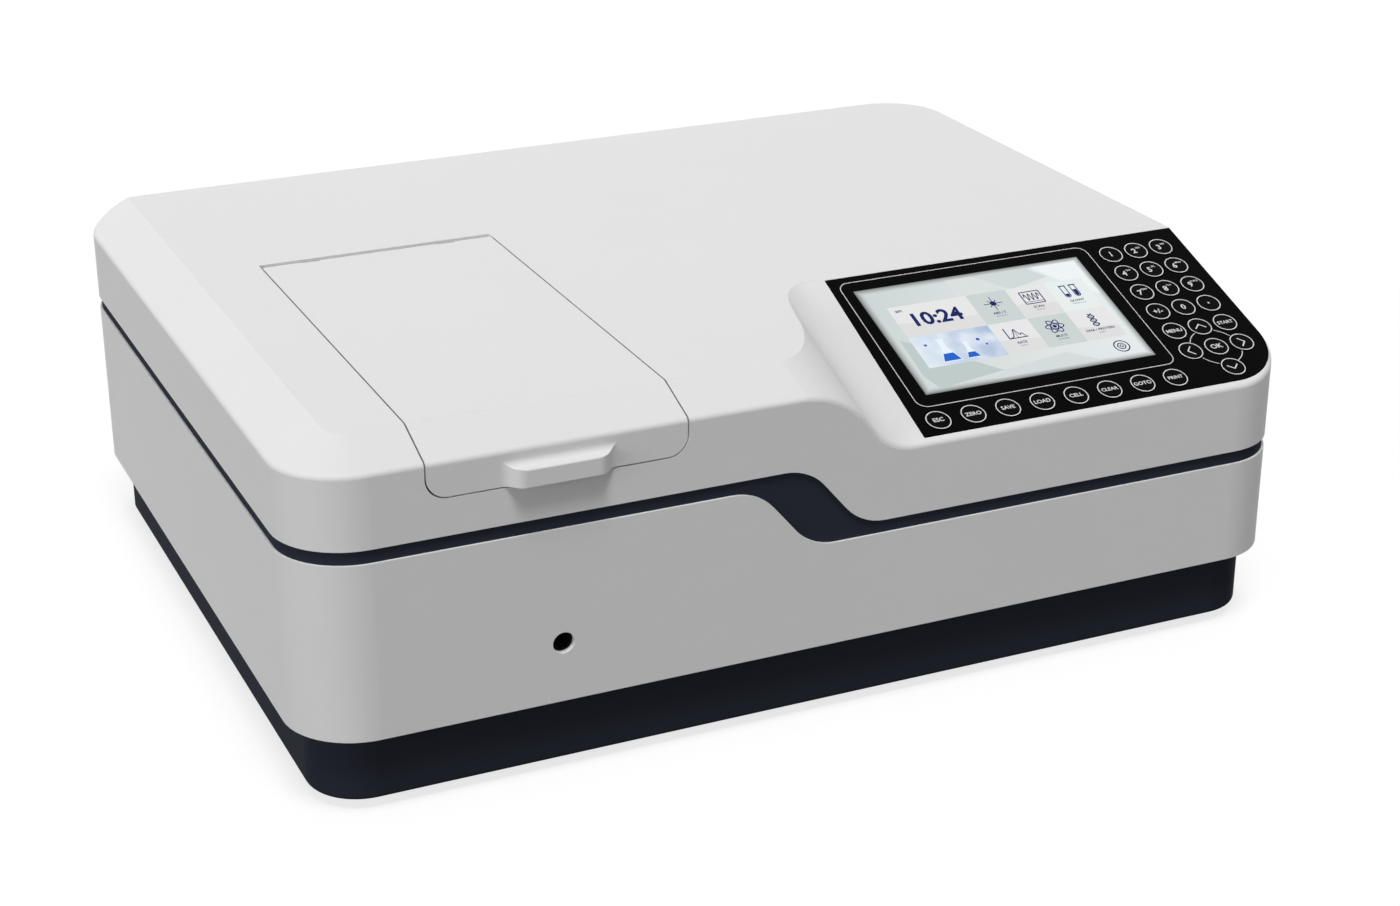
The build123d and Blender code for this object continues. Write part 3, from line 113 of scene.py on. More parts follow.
# What the display shows, in millimetres on the panel
DISPLAY = (73.2, 37.2, 223.8, 131.4)
TILE_COLUMNS = (85.5, 137.5, 163.9, 190.1, 216.2)
TILE_ROWS = (57.4, 84.9, 112.8)
TILE_GAP = 0.35
CLOCK_HEIGHT = 15.5
CLOCK_SHIFT = (-0.6, -0.4)
MORNING_HEIGHT = 3.6
MORNING_PLACE = (5.6, -4.0)
TILE_LABEL_HEIGHT = 2.7
TILE_LABEL_DROP = 8.7
TILE_NOTE_HEIGHT = 1.5
TILE_NOTE_DROP = 11.2
TILE_ICON_RISE = 3.4
WHEEL_PLACE = (207.7, 48.9)
BELL_BASE = 2.718
TILE_LABELS = (
    (1, 1, "ABS / T", "photometry"), (2, 1, "SCAN", "spectrum"), (3, 1, "QUANT", "standard curve"),
    (1, 0, "RATE", "kinetics"), (2, 0, "MULTI", "wavelengths"), (3, 0, "DNA / PROTEIN", "analysis"),
)
LIGHT_TILES = ((0, 1), (2, 1), (1, 0), (3, 0))
GREEN_TILES = ((1, 1), (2, 0))
PALE_TILE = (3, 1)
SHADE_RIGHT = 0.36
SHADE_LEFT = 0.46
FOLD_MARGIN = 3

# Flasks and drops on the first tile: places with scales or radii, and the shape of a flask of scale 1
FLASKS = ((17, 1.0), (31, 0.72))
DROPS = ((40, 17, 1.2), (43.5, 12, 0.8), (7, 19, 1.0))
FLASK_BASE = 2.6
FLASK_OUTLINE = ((-6.2, 0), (6.2, 0), (1.9, 12), (1.9, 19), (-1.9, 19), (-1.9, 12))
FLASK_RIM = 19.3
FLASK_RIM_HALF = 2.8
FLASK_RIM_WIDTH = 0.9
LIQUID_LEVEL = 7.0
LIQUID_FOOT = 5.5
LIQUID_EDGE = 5.7
LIQUID_TAPER = 0.36
LIQUID_BOTTOM = 0.6

# How far the parts of the picture lie above the display's glass, in millimetres
FOLD_LIFT = 0.01
FOLD_STEP = 0.004
TILE_LIFT = 0.04
SHADE_LIFT = 0.05
FLASK_LIFT = 0.055
INK_LIFT = 0.07

# Painted and moulded finishes by material slot: name, colour, roughness, specular level, grain size and depth
# in metres, and share of shade variation
MOULDED = {
    "housing": ("housing_paint", (0.755, 0.755, 0.757), 0.45, 0.06, 0.0007, 0.00001, 0.012),
    "tray": ("tray_plastic", (0.0255, 0.029, 0.041), 0.55, 0.005, 0.0006, 0.00002, 0.06),
    "seam": ("seam_plastic", (0.029, 0.033, 0.048), 0.55, 0.005, 0.0006, 0.00002, 0.06),
    "rubber": ("foot_rubber", (0.018, 0.018, 0.018), 0.8, 0.3, 0.0004, 0.00005, 0.03),
    "well": ("well_plastic", (0.012, 0.012, 0.013), 0.55, 0.3, 0.0008, 0.00004, 0.03),
    "panel": ("panel_film", (0.0012, 0.0012, 0.0014), 0.35, 0.012, 0.0005, 0.000002, 0.1),
    "key": ("key_film", (0.0016, 0.0016, 0.0019), 0.28, 0.018, 0.0005, 0.000002, 0.1),
    "black_anodised": ("black_anodised", (0.02, 0.02, 0.023), 0.36, 0.6, 0.0004, 0.00001, 0.03),
    "motor": ("motor_paint", (0.02, 0.02, 0.022), 0.4, 0.5, 0.001, 0.00003, 0.03),
    "fan": ("fan_plastic", (0.016, 0.016, 0.018), 0.42, 0.4, 0.0006, 0.00002, 0.03),
}
# Metals by material slot: name, colour, roughness, size and depth of marks in metres, and how they stretch
METALS = {
    "steel": ("ground_steel", (0.6, 0.6, 0.62), 0.25, 0.002, 0.000005, (1, 0.05, 1)),
    "sheet_metal": ("satin_sheet", (0.62, 0.63, 0.64), 0.38, 0.006, 0.00001, (1, 0.2, 1)),
    "cast_aluminium": ("cast_aluminium", (0.5, 0.51, 0.52), 0.5, 0.0012, 0.00006, (1, 1, 1)),
}
SHADE_PATCH = 0.09
GLOSS_PATCH = 0.02
GLOSS_CHANGE = 0.05
MARK_DARK = 0.88
MARK_LIGHT = 1.08
MARK_GLOSS = 0.08

# Foam of the lid's seal, and the white ink
# The darkest foam colour is painted shade in the pores' hollows
FOAM_PORE_SHADE = (0.012, 0.012, 0.012)
FOAM_LIGHT = (0.05, 0.05, 0.052)
FOAM_MIDDLE = (0.03, 0.03, 0.032)
FOAM_PORE = 0.0009
FOAM_DEPTH = 0.0002
FOAM_ROUGHNESS = 0.9
FOAM_SPECULAR = 0.2
WHITE_PRINT = (0.72, 0.72, 0.72)
INK_THIN = 0.8
INK_PATCH = 0.0006
INK_ROUGHNESS = 0.5
INK_SPECULAR = 0.2

# The lit display
NAVY = (0.012, 0.02, 0.13)
TILE_LIGHT = (0.80, 0.80, 0.80)
TILE_GREEN = (0.60, 0.665, 0.65)
TILE_PALE = (0.80, 0.86, 0.86)
TILE_SHADE = (0.74, 0.735, 0.735)
FLASK_COLOUR = (0.82, 0.90, 0.97)
LIQUID_COLOUR = (0.02, 0.13, 0.62)
PICTURE_LEFT = (0.72, 0.80, 0.90)
PICTURE_RIGHT = (0.42, 0.52, 0.70)
PICTURE_BLUR = (0.85, 0.90, 0.96)
BLUR_SIZE = 0.012
BLUR_SHARE = 0.7
SCREEN_ROUGHNESS = 0.25
SCREEN_SPECULAR = 0.02
PIXEL_PITCH = 0.00018
PIXEL_CONTRAST = 0.015
GROUND_LEFT = (0.60, 0.665, 0.65)
GROUND_RIGHT = (0.80, 0.85, 0.845)
GROUND_LOW = (0.74, 0.79, 0.78)
GROUND_LOW_SHARE = 0.35
# Painted shade along the display's edges: the width of its fade, the light left at the very edge, and the
# curve of the fade
EDGE_SHADOW_WIDTH = 4.5 * MM
SHADOWED_EDGE_LIGHT = 0.12
EDGE_SHADOW_CURVE = 0.6

# Boards, lamps, mirrors and the mains inlet
BOARD_GREEN = (0.012, 0.11, 0.045)
TRACK_GREEN = (0.03, 0.2, 0.08)
CHIP_BLACK = (0.02, 0.02, 0.022)
PORT_METAL = (0.62, 0.62, 0.63)
BOARD_ROUGHNESS = 0.35
TRACK_SPACING = 0.004
BOARD_THICKNESS = 1.6 * MM
PARTS_START = 0.2 * MM
PARTS_REACH = 10 * MM
CHIP_HEIGHT = 2.6 * MM
PORT_DEPTH = 19 * MM
BULB_COLOUR = (0.85, 0.88, 0.92)
BULB_CLEARNESS = 0.9
BULB_CLEAN = 0.03
BULB_HAZED = 0.12
BULB_HAZE_DEPTH = 40 * MM
LAMP_BASE_COLOUR = (0.75, 0.73, 0.68)
LAMP_BASE_HEIGHT = 10 * MM
LAMP_BASE_ROUGHNESS = (0.6, 0.6, 0.6)
MIRROR_COLOUR = (0.9, 0.9, 0.92)
MIRROR_FOOT_COLOUR = (0.03, 0.03, 0.033)
MIRROR_FOOT_HEIGHT = 9 * MM
MIRROR_FOOT_ROUGHNESS = (0.45, 0.45, 0.45)
MIRROR_CLEAN = 0.02
MIRROR_DUSTY = 0.06
DUST_PATCH = 0.003
INLET_BLACK = (0.014, 0.014, 0.015)
INLET_GLOSSY = 0.3
INLET_MATT = 0.45
INLET_PATCH = 0.002
INLET_GRAIN = 0.0005
INLET_GRAIN_DEPTH = 0.00001
BLADE_METAL = (0.7, 0.66, 0.55)
BLADE_PLACES = ((-7, -1.5), (7, -1.5), (0, 3))
BLADE_HALF = Vector((1.1, 0, 2.1)) * MM
BLADE_ROOT = 14.9 * MM
BLADE_TIP = 1.5 * MM
SOCKET_HEIGHT = 71 * MM

# The mains rocker and its marks, in millimetres
ROCKER_TILT = radians(8)
ROCKER_RADIUS = 9.5
ROCKER_RISE = 3.5
ROCKER_SETBACK = 3.5
BAR_HALF = 1.9
BAR_WIDTH = 0.7
RING_RADIUS = 1.8
RING_LINE = 0.6


class Graph:
    """A material under construction, with short names for the nodes that it needs."""

    def __init__(self, name, colour, roughness, metallic=0.0, specular=0.5):
        self.material = bpy.data.materials.new(name)
        self.material.use_nodes = True
        self.material.diffuse_color = (*colour, 1)
        self.tree = self.material.node_tree
        self.tree.nodes.clear()
        self.shader = self.tree.nodes.new("ShaderNodeBsdfPrincipled")
        output = self.tree.nodes.new("ShaderNodeOutputMaterial")
        self.link(self.shader.outputs[0], output.inputs["Surface"])
        self.shader.inputs["Base Color"].default_value = (*colour, 1)
        self.shader.inputs["Roughness"].default_value = roughness
        self.shader.inputs["Metallic"].default_value = metallic
        self.shader.inputs["Specular IOR Level"].default_value = specular
        coordinates = self.tree.nodes.new("ShaderNodeTexCoord")
        self.place = coordinates.outputs["Object"]

    def link(self, source, target):
        self.tree.links.new(source, target)

    def node(self, kind, inputs, **settings):
        """A node with its settings, whose inputs are sockets to link or values to set."""
        made = self.tree.nodes.new(kind)
        for name, value in settings.items():
            setattr(made, name, value)
        for key, value in inputs.items():
            if isinstance(value, bpy.types.NodeSocket):
                self.link(value, made.inputs[key])
            else:
                made.inputs[key].default_value = value
        return made

    def stretched(self, factors):
        return self.node("ShaderNodeMapping", {"Vector": self.place, "Scale": factors}).outputs[0]

    def noise(self, size, detail=2.0, where=None):
        """Noise whose blotches are about as large as size, in metres."""
        inputs = {"Vector": where or self.place, "Scale": 1 / size, "Detail": detail}
        return self.node("ShaderNodeTexNoise", inputs).outputs[0]

    def cells(self, size, feature="F1"):
        inputs = {"Vector": self.place, "Scale": 1 / size}
        return self.node("ShaderNodeTexVoronoi", inputs, feature=feature).outputs["Distance"]

    def math(self, operation, first, second=0.0):
        return self.node("ShaderNodeMath", {0: first, 1: second}, operation=operation).outputs[0]

    def spread(self, value, low, high, start=0.0, end=1.0):
        """Maps a value from one range to another, clamped."""
        inputs = {"Value": value, "From Min": start, "From Max": end, "To Min": low, "To Max": high}
        return self.node("ShaderNodeMapRange", inputs).outputs[0]

    def mix(self, factor, first, second):
        """Colour between two colours or colour sockets."""
        inputs = {0: factor}
        for index, colour in ((6, first), (7, second)):
            inputs[index] = colour if isinstance(colour, bpy.types.NodeSocket) else (*colour, 1)
        return self.node("ShaderNodeMix", inputs, data_type="RGBA").outputs[2]

    def along(self, direction):
        """Distance from the origin along a direction, in metres."""
        inputs = {0: self.place, 1: direction}
        return self.node("ShaderNodeVectorMath", inputs, operation="DOT_PRODUCT").outputs["Value"]

    def axes(self):
        parts = self.node("ShaderNodeSeparateXYZ", {0: self.place})
        return parts.outputs

    def inside(self, low, high):
        """1 inside a box given by its corners, and 0 outside."""
        factor = 1.0
        for axis, start, end in zip(self.axes(), low, high):
            factor = self.math("MULTIPLY", factor, self.math("GREATER_THAN", axis, start))
            factor = self.math("MULTIPLY", factor, self.math("LESS_THAN", axis, end))
        return factor

    def colour(self, socket):
        self.link(socket, self.shader.inputs["Base Color"])

    def roughness(self, socket):
        self.link(socket, self.shader.inputs["Roughness"])

    def metallic(self, socket):
        self.link(socket, self.shader.inputs["Metallic"])

    def bump(self, height, depth, strength=1.0):
        inputs = {"Height": height, "Distance": depth, "Strength": strength}
        self.link(self.node("ShaderNodeBump", inputs).outputs[0], self.shader.inputs["Normal"])


def tinted(colour, factor):
    return tuple(min(1.0, part * factor) for part in colour)


def moulded(name, colour, roughness, specular, grain, depth, variation):
    """Moulded or painted plastic: fine grain, slightly uneven gloss and faint shade variation."""
    graph = Graph(name, colour, roughness, specular=specular)
    dark = tinted(colour, 1 - variation)
    graph.colour(graph.mix(graph.noise(SHADE_PATCH, 3.0), dark, tinted(colour, 1 + variation)))
    gloss = graph.noise(GLOSS_PATCH, 4.0)
    graph.roughness(graph.spread(gloss, roughness - GLOSS_CHANGE, roughness + GLOSS_CHANGE))
    graph.bump(graph.noise(grain, 2.0), depth)
    return graph.material


def metal(name, colour, roughness, grain, depth, factors):
    """Machined, brushed or cast metal, its marks stretched by the factors."""
    graph = Graph(name, colour, roughness, metallic=1.0)
    marks = graph.noise(grain, 4.0, graph.stretched(factors))
    graph.colour(graph.mix(marks, tinted(colour, MARK_DARK), tinted(colour, MARK_LIGHT)))
    graph.roughness(graph.spread(marks, roughness - MARK_GLOSS, roughness + MARK_GLOSS))
    graph.bump(marks, depth)
    return graph.material


def foam():
    """Dark foam with open pores, painted darker in their hollows as shade."""
    graph = Graph("seal_foam", FOAM_MIDDLE, FOAM_ROUGHNESS, specular=FOAM_SPECULAR)
    pores = graph.cells(FOAM_PORE)
    # Painted shade: the pores' hollows darker than the foam between them
    graph.colour(graph.mix(pores, FOAM_PORE_SHADE, FOAM_LIGHT))
    graph.bump(pores, FOAM_DEPTH)
    return graph.material


def white_print():
    """Screen-printed white ink, a little uneven."""
    graph = Graph("white_print", WHITE_PRINT, INK_ROUGHNESS, specular=INK_SPECULAR)
    wear = graph.spread(graph.noise(INK_PATCH, 3.0), 0, 1, 0.3, 0.6)
    graph.colour(graph.mix(wear, tinted(WHITE_PRINT, INK_THIN), WHITE_PRINT))
    return graph.material


def lit(name, colour):
    """A patch of the lit display, with the faint rows of its picture elements."""
    graph = Graph(name, (0.0, 0.0, 0.0), SCREEN_ROUGHNESS, specular=SCREEN_SPECULAR)
    rows = graph.math("SINE", graph.math("MULTIPLY", graph.along(SLOPE), 2 * pi / PIXEL_PITCH))
    tone = graph.spread(rows, 1 - PIXEL_CONTRAST, 1 + PIXEL_CONTRAST, -1.0, 1.0)
    graph.link(scaled(graph, colour, tone), graph.shader.inputs["Emission Color"])
    graph.shader.inputs["Emission Strength"].default_value = 1.0
    return graph


def scaled(graph, colour, factor):
    """A colour or colour socket times a factor socket."""
    inputs = {0: colour if isinstance(colour, bpy.types.NodeSocket) else Vector(colour), "Scale": factor}
    return graph.node("ShaderNodeVectorMath", inputs, operation="SCALE").outputs[0]


def display_ground():
    """The display's ground: pale grey-green, brighter to one side, with painted shade as a soft dark edge all
    round.
    """
    graph = Graph("display_ground", (0.0, 0.0, 0.0), SCREEN_ROUGHNESS, specular=SCREEN_SPECULAR)
    left, low, right, high = (edge * MM for edge in DISPLAY)
    across = graph.axes()[0]
    up = graph.math("SUBTRACT", graph.along(SLOPE), CONSOLE_EDGE.dot(SLOPE))
    upper = graph.mix(graph.spread(across, 0, 1, left, right), GROUND_LEFT, GROUND_RIGHT)
    lower = graph.mix(GROUND_LOW_SHARE, upper, GROUND_LOW)
    pale = graph.mix(graph.spread(up, 0, 1, low, high), lower, upper)
    edge = graph.math("SUBTRACT", across, left)
    for distance in (
        graph.math("SUBTRACT", right, across),
        graph.math("SUBTRACT", up, low),
        graph.math("SUBTRACT", high, up),
    ):
        edge = graph.math("MINIMUM", edge, distance)
    # Painted shade: the ground darkens towards the display's edges, as an inner shadow
    light = graph.spread(edge, SHADOWED_EDGE_LIGHT, 1.0, 0.0, EDGE_SHADOW_WIDTH)
    light = graph.math("POWER", light, EDGE_SHADOW_CURVE)
    graph.link(scaled(graph, pale, light), graph.shader.inputs["Emission Color"])
    graph.shader.inputs["Emission Strength"].default_value = 1.0
    return graph.material


def circuit_board():
    """Green board with copper tracks, and the main board's parts by their height and depth."""
    graph = Graph("circuit_board", BOARD_GREEN, BOARD_ROUGHNESS)
    tracks = graph.spread(graph.cells(TRACK_SPACING, "DISTANCE_TO_EDGE"), 1, 0, 0.02, 0.04)
    board = graph.mix(tracks, BOARD_GREEN, TRACK_GREEN)
    low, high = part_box("main_board")
    _, back, up = graph.axes()
    board_top = low.z + BOARD_THICKNESS
    parts = graph.math("GREATER_THAN", up, board_top + PARTS_START)
    parts = graph.math("MULTIPLY", parts, graph.math("LESS_THAN", up, high.z + PARTS_REACH))
    sink = graph.math("GREATER_THAN", up, board_top + CHIP_HEIGHT)
    ports = graph.math("GREATER_THAN", back, high.y - PORT_DEPTH)
    shiny = graph.math("MULTIPLY", parts, graph.math("MAXIMUM", sink, ports))
    graph.colour(graph.mix(shiny, graph.mix(parts, board, CHIP_BLACK), PORT_METAL))
    graph.metallic(shiny)
    return graph.material


def lamp_glass():
    """Clear bulbs, a little hazed at their crowns, on pale ceramic bases."""
    graph = Graph("lamp_glass", BULB_COLOUR, 0.05)
    low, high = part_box("lamps")
    up = graph.axes()[2]
    base = graph.math("LESS_THAN", up, low.z + LAMP_BASE_HEIGHT)
    haze = graph.spread(up, BULB_CLEAN, BULB_HAZED, high.z - BULB_HAZE_DEPTH, high.z)
    graph.roughness(graph.mix(base, haze, LAMP_BASE_ROUGHNESS))
    graph.colour(graph.mix(base, BULB_COLOUR, LAMP_BASE_COLOUR))
    clear = graph.math("SUBTRACT", BULB_CLEARNESS, graph.math("MULTIPLY", base, BULB_CLEARNESS))
    graph.link(clear, graph.shader.inputs["Transmission Weight"])
    return graph.material


def mirror_glass():
    """Polished mirror faces on dark feet."""
    graph = Graph("mirror_glass", MIRROR_COLOUR, 0.03, metallic=1.0)
    foot = graph.math("LESS_THAN", graph.axes()[2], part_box("mirrors")[0].z + MIRROR_FOOT_HEIGHT)
    graph.colour(graph.mix(foot, MIRROR_COLOUR, MIRROR_FOOT_COLOUR))
    dust = graph.spread(graph.noise(DUST_PATCH, 4.0), MIRROR_CLEAN, MIRROR_DUSTY)
    graph.roughness(graph.mix(foot, dust, MIRROR_FOOT_ROUGHNESS))
    return graph.material


def inlet_plastic():
    """Black plastic of inlet and rocker, with metal blades down in the socket."""
    graph = Graph("inlet_plastic", INLET_BLACK, 0.38, specular=0.4)
    low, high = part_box("power_inlet")
    middle = Vector(((low.x + high.x) / 2, 0, SOCKET_HEIGHT))
    blades = 0.0
    for across, rise in BLADE_PLACES:
        centre = middle + Vector((across, 0, rise)) * MM
        start = centre - BLADE_HALF
        end = centre + BLADE_HALF
        start.y = high.y - BLADE_ROOT
        end.y = high.y - BLADE_TIP
        blades = graph.math("MAXIMUM", blades, graph.inside(start, end))
    graph.colour(graph.mix(blades, INLET_BLACK, BLADE_METAL))
    graph.metallic(blades)
    graph.roughness(graph.spread(graph.noise(INLET_PATCH, 4.0), INLET_GLOSSY, INLET_MATT))
    graph.bump(graph.noise(INLET_GRAIN), INLET_GRAIN_DEPTH)
    return graph.material


materials = {slot: moulded(*finish) for slot, finish in MOULDED.items()}
materials.update({slot: metal(*finish) for slot, finish in METALS.items()})
materials["seal"] = foam()
materials["screen"] = display_ground()
materials["circuit_board"] = circuit_board()
materials["mirror"] = mirror_glass()
materials["lamp_glass"] = lamp_glass()
materials["inlet"] = inlet_plastic()
print_ink = white_print()


def dress_frame():
    """Give every CAD node the material of its slot."""
    for part in frame["record"]["subparts"]:
        node = frame["nodes"][part["node"]]
        node.data.materials.clear()
        node.data.materials.append(materials[part["material_slot"]])


def on_console(x, run, lift=0.0, turn=0.0):
    """Matrix that lays a drawing in millimetres on the console at a point of the panel."""
    origin = CONSOLE_EDGE + Vector((x * MM, 0, 0)) + SLOPE * (run * MM) + OUTWARD * (lift * MM)
    axes = Matrix((Vector((1, 0, 0)), SLOPE, OUTWARD)).transposed().to_4x4()
    return Matrix.Translation(origin) @ axes @ Matrix.Rotation(turn, 4, "Z") @ Matrix.Scale(MM, 4)


def piece(name, mesh, material, body):
    """A finished piece from a mesh, riding on its body."""
    mesh.materials.clear()
    mesh.materials.append(material)
    made = bpy.data.objects.new(name, mesh)
    scene.collection.objects.link(made)
    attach(made, body)
    return made


class Drawing:
    """Flat shapes gathered into one mesh, drawn in millimetres."""

    def __init__(self):
        self.points = []
        self.faces = []

    def polygon(self, corners):
        start = len(self.points)
        self.points += [(x, y, 0.0) for x, y in corners]
        self.faces.append(tuple(range(start, start + len(corners))))

    def band(self, inner, outer, closed=True):
        """Quads between two rows of points."""
        start = len(self.points)
        count = len(inner)
        self.points += [(x, y, 0.0) for x, y in (*inner, *outer)]
        for index in range(count if closed else count - 1):
            after = (index + 1) % count
            corners = (index, after, count + after, count + index)
            self.faces.append(tuple(start + corner for corner in corners))

    def stroke(self, line, width, closed=False):
        """A line of the given width through its points."""
        count = len(line)
        inner = []
        outer = []
        for index, (x, y) in enumerate(line):
            before = line[index - 1] if index > 0 or closed else line[index]
            after = line[(index + 1) % count] if index < count - 1 or closed else line[index]
            first = Vector((x - before[0], y - before[1]))
            second = Vector((after[0] - x, after[1] - y))
            first = first.normalized() if first.length > 0 else second.normalized()
            second = second.normalized() if second.length > 0 else first
            middle = (first + second).normalized()
            sideways = Vector((-middle.y, middle.x))
            reach = width / 2 / max(LEAST_BEND_COSINE, sideways.dot(Vector((-first.y, first.x))))
            inner.append((x + sideways.x * reach, y + sideways.y * reach))
            outer.append((x - sideways.x * reach, y - sideways.y * reach))
        self.band(inner, outer, closed)

    def disc(self, x, y, radius):
        self.polygon(circle(x, y, radius, DISC_SIDES))

    def text(self, words, x, y, height, weight=LETTER_WEIGHT):
        """Lettering centred on a point, thickened by the weight's share of its height."""
        curve = bpy.data.curves.new("lettering", "FONT")
        curve.body = words
        curve.align_x = "CENTER"
        curve.align_y = "CENTER"
        curve.size = height
        curve.offset = height * weight
        curve.resolution_u = 3
        holder = bpy.data.objects.new("lettering", curve)
        scene.collection.objects.link(holder)
        bpy.context.view_layer.update()
        mesh = bpy.data.meshes.new_from_object(holder)
        start = len(self.points)
        self.points += [(point.co.x + x, point.co.y + y, 0.0) for point in mesh.vertices]
        self.faces += [tuple(start + corner for corner in face.vertices) for face in mesh.polygons]
        bpy.data.objects.remove(holder)
        bpy.data.curves.remove(curve)
        bpy.data.meshes.remove(mesh)

    def mesh(self, name, matrix):
        made = bpy.data.meshes.new(name)
        made.from_pydata(self.points, [], self.faces)
        made.transform(matrix)
        made.update()
        return made


def arc(x, y, radius, start, end, sides=16, radius_y=None, turn=0.0):
    """Points of an arc of a circle or of a turned ellipse, both ends included."""
    points = []
    for index in range(sides + 1):
        angle = radians(start + (end - start) * index / sides)
        across = radius * cos(angle)
        up = (radius_y or radius) * sin(angle)
        points.append((x + across * cos(turn) - up * sin(turn), y + across * sin(turn) + up * cos(turn)))
    return points


def circle(x, y, radius, sides):
    """Points of a whole circle, without the first one again at its end."""
    return arc(x, y, radius, 0, 360, sides)[:-1]


def rounded_rectangle(left, low, right, high, radius):
    corners = ((right, high, 0), (left, high, 90), (left, low, 180), (right, low, 270))
    points = []
    for x, y, start in corners:
        centre_x = x + (radius if x == left else -radius)
        centre_y = y + (radius if y == low else -radius)
        points += arc(centre_x, centre_y, radius, start, start + 90, CORNER_SIDES)
    return points


def rounded_outline(corners, radius):
    """Points round a polygon whose corners are rounded."""
    points = []
    for index, corner in enumerate(corners):
        corner = Vector(corner)
        back = (Vector(corners[index - 1]) - corner).normalized()
        ahead = (Vector(corners[(index + 1) % len(corners)]) - corner).normalized()
        half = back.angle(ahead) / 2
        centre = corner + (back + ahead).normalized() * (radius / sin(half))
        first = corner + back * (radius / tan(half)) - centre
        last = corner + ahead * (radius / tan(half)) - centre
        for step in range(CORNER_SIDES + 1):
            spoke = first.lerp(last, step / CORNER_SIDES).normalized() * radius
            points.append(tuple(centre + spoke))
    return points


def key_place(node):
    """Place of a key on the panel, from its CAD node."""
    low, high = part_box(node)
    middle = (low + high) / 2 - CONSOLE_EDGE
    return middle.x / MM, middle.dot(SLOPE) / MM


def key_print(node, body):
    """White ring round the key's edge and its sign on the top."""
    drawing = Drawing()
    flat = KEY_RADIUS - KEY_CHAMFER
    drawing.band(circle(0, 0, flat - RING_WIDTH, CIRCLE_SIDES), circle(0, 0, flat, CIRCLE_SIDES))
    label = node.rsplit("_", 1)[-1]
    if node in KEY_WORDS:
        words = KEY_WORDS[node]
        drawing.text(words, 0, 0, KEY_WORD_HEIGHTS[len(words)])
    elif label in ARROW_TURNS:
        turn = Matrix.Rotation(radians(ARROW_TURNS[label]), 2)
        drawing.stroke([tuple(turn @ Vector(point)) for point in ARROW_LINE], ARROW_WIDTH)
    elif label == "sign":
        drawing.text("+/-", 0, 0, KEY_SIGN_HEIGHT)
    elif label == "point":
        drawing.disc(0, 0, KEY_POINT_RADIUS)
    else:
        letters = KEY_LETTERS.get(label)
        drawing.text(label, *(KEY_DIGIT_PLACE if letters else (0, 0)), KEY_DIGIT_HEIGHT)
        if letters:
            drawing.text(letters, *KEY_LETTER_PLACE, KEY_LETTER_HEIGHT)
    x, run = key_place(node)
    mesh = drawing.mesh(node + "_print", on_console(x, run, KEY_TOP + PRINT_LIFT))
    piece(node + "_print", mesh, print_ink, body)


def panel_print():
    """Thin line round the display and the circle that joins the arrow keys."""
    drawing = Drawing()
    drawing.stroke(rounded_outline(FRAME_LINE, FRAME_LINE_RADIUS), LINE_WIDTH, True)
    x, run = key_place("pad_key_ok")
    arrows = [key_place("pad_key_" + name) for name in ARROW_TURNS]
    clear = KEY_RADIUS + CIRCLE_CLEARANCE
    stretch = []
    for step in range(361):
        point = arc(x, run, PAD_CIRCLE_RADIUS, step, step, 1)[0]
        if min(hypot(point[0] - ax, point[1] - ay) for ax, ay in arrows) > clear:
            stretch.append(point)
        elif stretch:
            drawing.stroke(stretch, LINE_WIDTH)
            stretch = []
    mesh = drawing.mesh("panel_print", on_console(0, 0, PRINT_LIFT))
    piece("panel_print", mesh, print_ink, "instrument")


def display_patch(name, drawing, colour, lift):
    """A flat part of the display's picture."""
    mesh = drawing.mesh(name, on_console(0, 0, lift))
    piece(name, mesh, lit(name, colour).material, "instrument")


def tile(column, row):
    """Left, low, right and high edges of a tile."""
    return (
        TILE_COLUMNS[column] + TILE_GAP / 2,
        TILE_ROWS[row] + TILE_GAP / 2,
        TILE_COLUMNS[column + 1] - TILE_GAP / 2,
        TILE_ROWS[row + 1] - TILE_GAP / 2,
    )


def tile_corners(column, row):
    left, low, right, high = tile(column, row)
    return [(left, low), (right, low), (right, high), (left, high)]


def tile_middle(column, row):
    left, low, right, high = tile(column, row)
    return (left + right) / 2, (low + high) / 2 + TILE_ICON_RISE


def display_facets():
    """Large pale folds behind the tiles."""
    left, low, right, high = DISPLAY
    shades = (
        ((0.52, 0.60, 0.585), [(84, low + 2), (128, 46), (104, 66), (80, 84), (79, 52)]),
        ((0.70, 0.755, 0.745), [(132, 131), (150, 131), (168, 112), (150, 84), (132, 96)]),
        ((0.63, 0.70, 0.685), [(150, 131), (186, 131), (196, 118), (168, 112)]),
        ((0.66, 0.72, 0.71), [(128, 46), (172, 52), (190, 40), (140, low + 2), (118, low + 2)]),
        ((0.86, 0.90, 0.90), [(190, 131), (220, 131), (222, 96), (206, 108)]),
    )
    for index, (colour, corners) in enumerate(shades):
        drawing = Drawing()
        inside = []
        for x, y in corners:
            x = min(max(x, left + FOLD_MARGIN), right - FOLD_MARGIN)
            y = min(max(y, low + FOLD_MARGIN), high - FOLD_MARGIN)
            inside.append((x, y))
        drawing.polygon(inside)
        display_patch(f"screen_fold_{index}", drawing, colour, FOLD_LIFT + FOLD_STEP * index)


